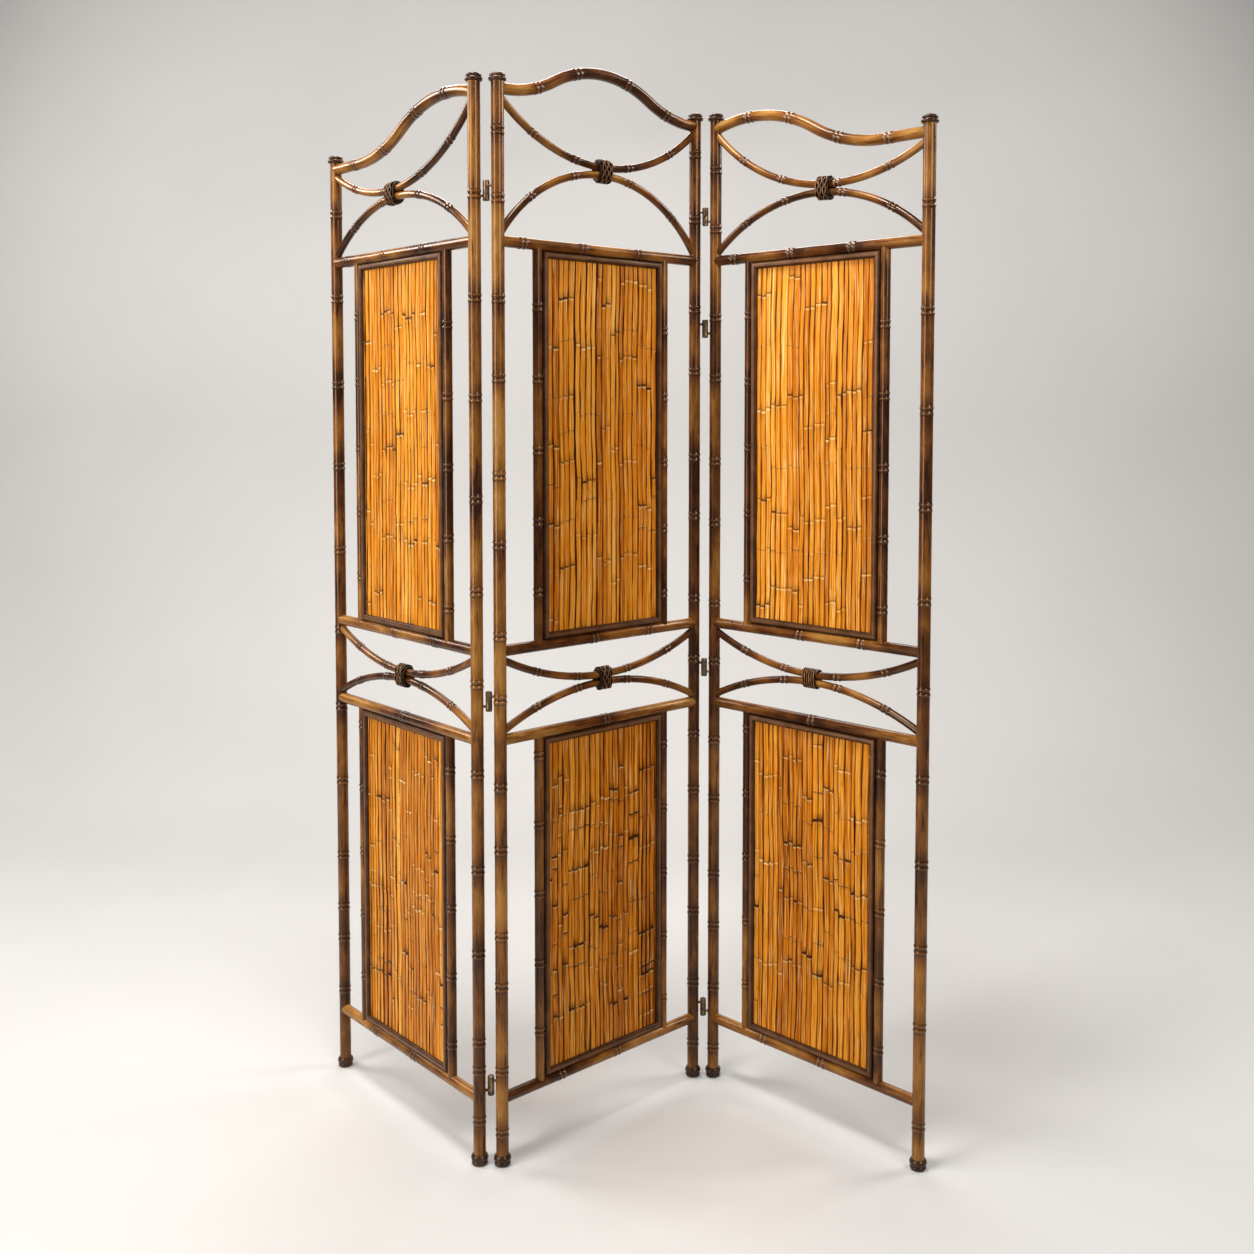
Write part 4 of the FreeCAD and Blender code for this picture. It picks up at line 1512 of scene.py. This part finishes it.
@dataclass
class Reeds:
    """The strips of one infill."""

    place: PanelPlace
    bay: Span
    node: str
    finish: Paint
    wear: float = 0.0
    count: int = 24
    patterns: int = 12
    margin: float = 2.3 * MM
    gap: float = 0.2 * MM
    # How dark the scar of a joint is, and how strong the painted highlight on the lip below it
    kinds: Marks = ((1.0, 0.35), (0.45, 1.0), (1.0, 1.0), (0.7, 0.5), (0.25, 0.4))
    first_joint_mm: Span = (25, 190)
    joint_step_mm: Span = (85, 235)
    worn_step: float = 0.2
    end_clear: float = 20 * MM
    widths: Span = (0.72, 1.28)
    runs: tuple[int, ...] = (1, 2, 2, 3, 4)
    run_tones: Span = (0.36, 0.60)
    # Painted shade: lower infills darkened by this much for each unit of wear, as if less light reached them
    painted_shade_tone: float = 0.07
    own_tone: float = 0.16
    # Sideways reach, length of the wave and lag across the infill
    slow: Triple = (1.5 * MM, 0.52, 0.7)
    quick: Triple = (0.7 * MM, 0.19, 2.2)

    def sway(self, strip: Piece, share: float, phases: Span) -> None:
        """Let a strip waver sideways together with its neighbours.

        Args:
            strip: the strip, upright at the origin.
            share: its place across the infill, from -1 to 1.
            phases: where the two waves start.
        """
        rows = points_of(strip)
        for (reach, wave, lag), phase in zip((self.slow, self.quick), phases):
            aside = reach * np.sin(rows[:, 2] * TURN / wave + phase + lag * share)
            rows[:, 0] += (1 - share ** 4) * aside
        strip.data.vertices.foreach_set("co", rows.ravel())

    def build(self, seed: int) -> None:
        """Lay the strips side by side and hand them over.

        Args:
            seed: number that varies them.
        """
        dice = random.Random(seed)
        low = self.bay[0] + SIZES.rail_r + self.margin
        length = self.bay[1] - SIZES.rail_r - self.margin - low
        width = 2 * (SIZES.stile_x - SIZES.stile_r - self.margin)
        stock = []
        for number in range(self.patterns):
            joints = []
            height = dice.uniform(*self.first_joint_mm) * MM
            while height < length - self.end_clear:
                joints.append(height)
                height += dice.uniform(*self.joint_step_mm) * (1 - self.worn_step * self.wear) * MM
            pattern = ReedPattern(length, joints)
            pattern.build(f"{self.node}_pattern_{number}")
            stock.append(pattern)
        shares = [dice.uniform(*self.widths) for _ in range(self.count)]
        phases = (dice.uniform(0, TURN), dice.uniform(0, TURN))
        pattern = stock[0]
        where = self.place.matrix()
        made = []
        x = -width / 2
        left_in_run = 0
        for share in shares:
            if left_in_run == 0:
                left_in_run = dice.choice(self.runs)
                pattern = dice.choice([other for other in stock if other is not pattern])
                # Each run's tone, darkened by painted shade on the lower infills
                run_tone_and_shade = dice.uniform(*self.run_tones) - self.painted_shade_tone * self.wear
                marked = [dice.choice(self.kinds) for _ in pattern.joints]
            left_in_run -= 1
            own = width * share / sum(shares)
            tone = run_tone_and_shade + dice.uniform(-self.own_tone, self.own_tone)
            strip = copied(pattern.piece)
            pattern.mark(strip, tone, self.wear, marked, dice)
            pattern.shape(strip, own - self.gap, dice)
            self.sway(strip, 2 * (x + own / 2) / width, phases)
            made.append(settle(strip, where @ Matrix.Translation((x + own / 2, 0, low))))
            x += own
        for pattern in stock:
            bpy.data.objects.remove(pattern.piece)
        whole = joined(self.node + "_strips", made)
        hand_over(whole, self.place.body, [self.node], self.finish)


@dataclass
class Mouldings:
    """Half-round frames, mitred at the corners, on both faces of both infills."""

    place: PanelPlace
    finish: Paint
    width: float = 11.5 * MM
    height: float = 6.0 * MM
    edge: float = 1.2 * MM
    seat: float = 2.2 * MM
    gap: float = 0.15 * MM
    insets: tuple[float, ...] = (0.06, 0.17, 0.33, 0.54, 0.80)
    sharp: float = 32.0

    def ring(self, name: str, wide: float, tall: float) -> Piece:
        """Model one frame lying flat, crown up.

        Args:
            name: name of the object.
            wide: outside width.
            tall: outside height.

        Returns:
            The frame about the origin.
        """
        leave_edit()
        bpy.ops.mesh.primitive_plane_add(size=1)
        piece = bpy.context.object
        piece.name = name
        piece.scale = (wide, tall, 1)
        bpy.ops.object.transform_apply(location=True, rotation=True, scale=True)
        bpy.ops.object.mode_set(mode="EDIT")
        bpy.ops.mesh.select_all(action="SELECT")
        bpy.ops.mesh.inset(thickness=self.width)
        bpy.ops.mesh.delete(type="FACE")
        bpy.ops.mesh.select_all(action="SELECT")
        bpy.ops.mesh.extrude_region_move(TRANSFORM_OT_translate={"value": (0, 0, self.edge)})
        rise = self.height - self.edge
        half = self.width / 2
        radius = (half ** 2 + rise ** 2) / (2 * rise)
        done_x = 0.0
        done_z = 0.0
        for share in self.insets:
            x = half * share
            z = math.sqrt(radius ** 2 - (half - x) ** 2) - (radius - rise)
            bpy.ops.mesh.inset(thickness=x - done_x, depth=z - done_z, use_boundary=True)
            done_x, done_z = x, z
        face_out(piece)
        # Height share, which the finish reads to lighten the crest with wear and a painted highlight
        store(piece, crest=points_of(piece)[:, 2] / self.height)
        smooth(piece, self.sharp)
        return piece

    def build(self) -> None:
        """Model the frames and hand them over."""
        where = self.place.matrix()
        made = []
        wide = 2 * (SIZES.stile_x - SIZES.stile_r - self.gap)
        for low, high in SIZES.bays:
            tall = high - low - 2 * (SIZES.rail_r + self.gap)
            middle = (low + high) / 2
            for side in Side:
                name = f"{self.place.name}_moulding_{len(made)}"
                turn = Matrix.Rotation(-side.value * QUARTER, 4, "X")
                seat = Matrix.Translation((0, side.value * self.seat, middle))
                made.append(settle(self.ring(name, wide, tall), where @ seat @ turn))
        whole = joined(self.place.name + "_moulding_frames", made)
        hand_over(whole, self.place.body, [self.place.name + "_mouldings"], self.finish)


@dataclass
class Ends:
    """Turned caps and feet of a panel, with their outlines in millimetres."""

    place: PanelPlace
    finish: Paint
    cap_outline: Outline = (
        (0.0, 0.0), (12.4, 0.0), (13.6, 0.5), (14.3, 1.7), (14.5, 3.2), (14.3, 4.7), (13.7, 5.9), (12.8, 6.5),
        (11.7, 6.7), (11.6, 7.1), (12.5, 7.6), (12.9, 8.4), (12.8, 9.9), (12.1, 11.2), (10.4, 12.4),
        (7.8, 13.4), (4.2, 14.2), (0.0, 14.5),
    )
    foot_outline: Outline = (
        (0.0, 0.0), (10.0, 0.0), (11.9, 0.6), (13.1, 2.0), (13.5, 3.6), (13.3, 5.4), (12.7, 6.6), (12.3, 7.0),
        (12.6, 7.5), (13.7, 8.6), (14.4, 10.4), (14.5, 12.4), (14.0, 14.4), (13.0, 16.2), (12.0, 17.2),
        (11.5, 18.0), (0.0, 18.0),
    )
    flats: int = 32
    sharp: float = 50.0

    def build(self) -> None:
        """Turn the caps and feet and hand them over."""
        where = self.place.matrix()
        tops = [height - SIZES.cap_height for height in self.place.heights()]
        floor = (0.0, 0.0)
        for kind, outline, bases in (("caps", self.cap_outline, tops), ("feet", self.foot_outline, floor)):
            made = []
            for side, base in zip(SIDES, bases):
                name = f"{self.place.name}_{kind}_{len(made)}"
                piece = turned(name, [(r * MM, z * MM) for r, z in outline], self.flats)
                smooth(piece, self.sharp)
                made.append(settle(piece, where @ Matrix.Translation((side * SIZES.half_span, 0, base))))
            whole = joined(f"{self.place.name}_turned_{kind}", made)
            hand_over(whole, self.place.body, [f"{self.place.name}_{kind}"], self.finish)


@dataclass
class Hinges:
    """Hinge leaves and pins, which keep their solids and get a metal finish."""

    brass: Paint
    steel: Paint

    def dress(self) -> None:
        """Put the finishes on the solids."""
        for name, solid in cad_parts.items():
            if "hinge" in name:
                solid.data.materials.clear()
                solid.data.materials.append(self.steel if name.endswith("pins") else self.brass)
                LOG.info("%s: metal finish", name)


# Studio


@dataclass
class Studio:
    """Floor, soft light and camera."""

    lens: float = 38.81
    sensor: float = 36.0
    shift_y: float = -0.1164
    camera_place: Triple = (-1.5572, -1.7537, 1.251)
    camera_turn: Triple = (87.01, 0.0, -42.41)
    floor_colour: Colour = (0.60, 0.595, 0.585)
    bounce_colour: Colour = (0.30, 0.29, 0.28)
    paler: float = 1.06
    floor_grain: Triple = (1.3, 1.3, 1.3)
    floor_roughness: float = 0.65
    floor_size: Span = (14.0, 9.0)
    floor_y: float = -1.9
    back_half: float = 2.0
    wall_height: float = 5.0
    wall_foot: float = 1.0
    corner: float = 1.2
    # Name, place, face and watts
    lamps: tuple[tuple[str, Triple, Span, float], ...] = (
        ("key", (-2.4, -1.7, 1.6), (0.9, 2.4), 62),
        ("top", (-0.4, -0.5, 3.3), (0.9, 0.6), 58),
        ("fill", (2.2, -2.7, 2.4), (1.2, 1.4), 50),
        ("left_edge", (-2.83, 0.87, 2.8), (0.9, 1.2), 54),
        ("right_edge", (2.8, 0.75, 2.8), (0.9, 1.2), 40),
        ("back", (-0.3, 1.7, 3.0), (1.8, 0.4), 26),
    )
    lamp_colour: Colour = (1.0, 0.965, 0.93)
    lamp_aim: Triple = (0.0, 0.0, 1.1)
    world_colour: Colour = (0.94, 0.95, 0.97)
    world_strength: float = 0.14

    def camera(self) -> None:
        """Stand the camera at the photograph's place."""
        data = bpy.data.cameras.new("camera")
        data.lens = self.lens
        data.sensor_width = self.sensor
        data.shift_y = self.shift_y
        eye = bpy.data.objects.new("camera", data)
        eye.location = self.camera_place
        eye.rotation_euler = [math.radians(angle) for angle in self.camera_turn]
        bpy.context.scene.collection.objects.link(eye)
        bpy.context.scene.camera = eye

    def sweep(self) -> None:
        """Pale floor that runs up into a wall behind the screen."""
        leave_edit()
        bpy.ops.mesh.primitive_plane_add(size=1)
        floor = bpy.context.object
        floor.name = "floor"
        floor.scale = (*self.floor_size, 1)
        floor.location = (0, self.floor_y, 0)
        bpy.ops.object.transform_apply(location=True, rotation=True, scale=True)
        corners = floor.data.vertices
        for edge in floor.data.edges:
            edge.select = all(corners[i].co.y > self.back_half for i in edge.vertices)
        for vertex in corners:
            vertex.select = vertex.co.y > self.back_half
        for face in floor.data.polygons:
            face.select = False
        bpy.ops.object.mode_set(mode="EDIT")
        bpy.ops.mesh.select_mode(type="EDGE")
        bpy.ops.mesh.extrude_region_move(TRANSFORM_OT_translate={"value": (0, 0, self.wall_height)})
        bpy.ops.object.mode_set(mode="OBJECT")
        for edge in floor.data.edges:
            ends = [floor.data.vertices[i].co for i in edge.vertices]
            edge.select = all(end.y > self.back_half and end.z < self.wall_foot for end in ends)
        bpy.ops.object.mode_set(mode="EDIT")
        bpy.ops.mesh.bevel(offset=self.corner, segments=12, profile=0.5, affect="EDGES")
        bpy.ops.object.mode_set(mode="OBJECT")
        smooth(floor, degrees=60)
        settle(floor, Matrix.Rotation(math.radians(self.camera_turn[2]), 4, "Z"))
        bench = Bench("studio_floor")
        cloud = bench.noise(bench.place(), self.floor_grain, 3.0)
        pale = tuple(channel * self.paler for channel in self.floor_colour)
        colour = bench.ramp(cloud, ((0.3, self.floor_colour), (0.7, pale)))
        bounce = bench.node("ShaderNodeLightPath").outputs["Is Diffuse Ray"]
        bench.surface(bench.blend(bounce, colour, self.bounce_colour), self.floor_roughness)
        floor.data.materials.append(bench.material)

    def lamp(self, name: str, place: Vector, target: Vector, face: Span, watts: float) -> None:
        """Soft box that looks at a point.

        Args:
            name: name of the lamp.
            place: where it hangs.
            target: where it looks.
            face: width and height of its face.
            watts: its power.
        """
        data = bpy.data.lights.new(name, "AREA")
        data.shape = "RECTANGLE"
        data.size, data.size_y = face
        data.energy = watts
        data.color = self.lamp_colour
        lamp = bpy.data.objects.new(name, data)
        lamp.location = place
        lamp.rotation_euler = (target - place).to_track_quat("-Z", "Y").to_euler()
        bpy.context.scene.collection.objects.link(lamp)

    def light(self) -> None:
        """Hang the lamps and set the world to a pale even light."""
        turn = Matrix.Rotation(math.radians(self.camera_turn[2]), 4, "Z")
        target = Vector(self.lamp_aim)
        for name, place, face, watts in self.lamps:
            self.lamp(name, turn @ Vector(place), target, face, watts)
        world = bpy.data.worlds.new("studio")
        bpy.context.scene.world = world
        world.use_nodes = True
        back = world.node_tree.nodes["Background"]
        back.inputs["Color"].default_value = (*self.world_colour, 1.0)
        back.inputs["Strength"].default_value = self.world_strength
        bpy.context.scene.view_settings.view_transform = "Standard"

    def build(self) -> None:
        """Set up the whole studio."""
        self.camera()
        self.sweep()
        self.light()


def main() -> None:
    """Build the screen piece by piece."""
    logging.basicConfig(level=logging.INFO, format="%(message)s")
    Studio().build()
    post_bamboo = BambooFinish("post_bamboo").material()
    rail_bamboo = BambooFinish("rail_bamboo", lift=-0.06).material()
    bent_bamboo = BambooFinish("bent_bamboo", lift=-0.12).material()
    stile_bamboo = BambooFinish("stile_bamboo", lift=-0.13, scorch=0.2).material()
    reed = ReedFinish().material()
    moulding = StainedWoodFinish("moulding_wood").material()
    ends = StainedWoodFinish(
        "turned_wood", rubbed=(0.085, 0.035, 0.017), dullness=(0.26, 0.44), coat=0.25
    ).material()
    rattan = RattanFinish().material()
    brass = MetalFinish("hinge_metal", (0.30, 0.195, 0.105), (0.065, 0.042, 0.026)).material()
    steel = MetalFinish("pin_steel", (0.45, 0.43, 0.40), (0.10, 0.09, 0.08)).material()
    # Seeds stand apart, so that no two poles share their grain
    for number, place in enumerate(PANELS):
        seed = 100 * (number + 1)
        Posts(place, post_bamboo).build(seed)
        Rails(place, rail_bamboo).build(seed + 10)
        Stiles(place, stile_bamboo).build(seed + 20)
        BentPoles(place, rail_bamboo, bent_bamboo, rattan).build(seed + 30)
        Mouldings(place, moulding).build()
        Reeds(place, SIZES.bays[0], place.name + "_upper_reeds", reed).build(seed + 40)
        Reeds(place, SIZES.bays[1], place.name + "_lower_reeds", reed, place.wear).build(seed + 50)
        Ends(place, ends).build()
    Hinges(brass, steel).dress()
    leave_edit()


if __name__ == "__main__":
    main()
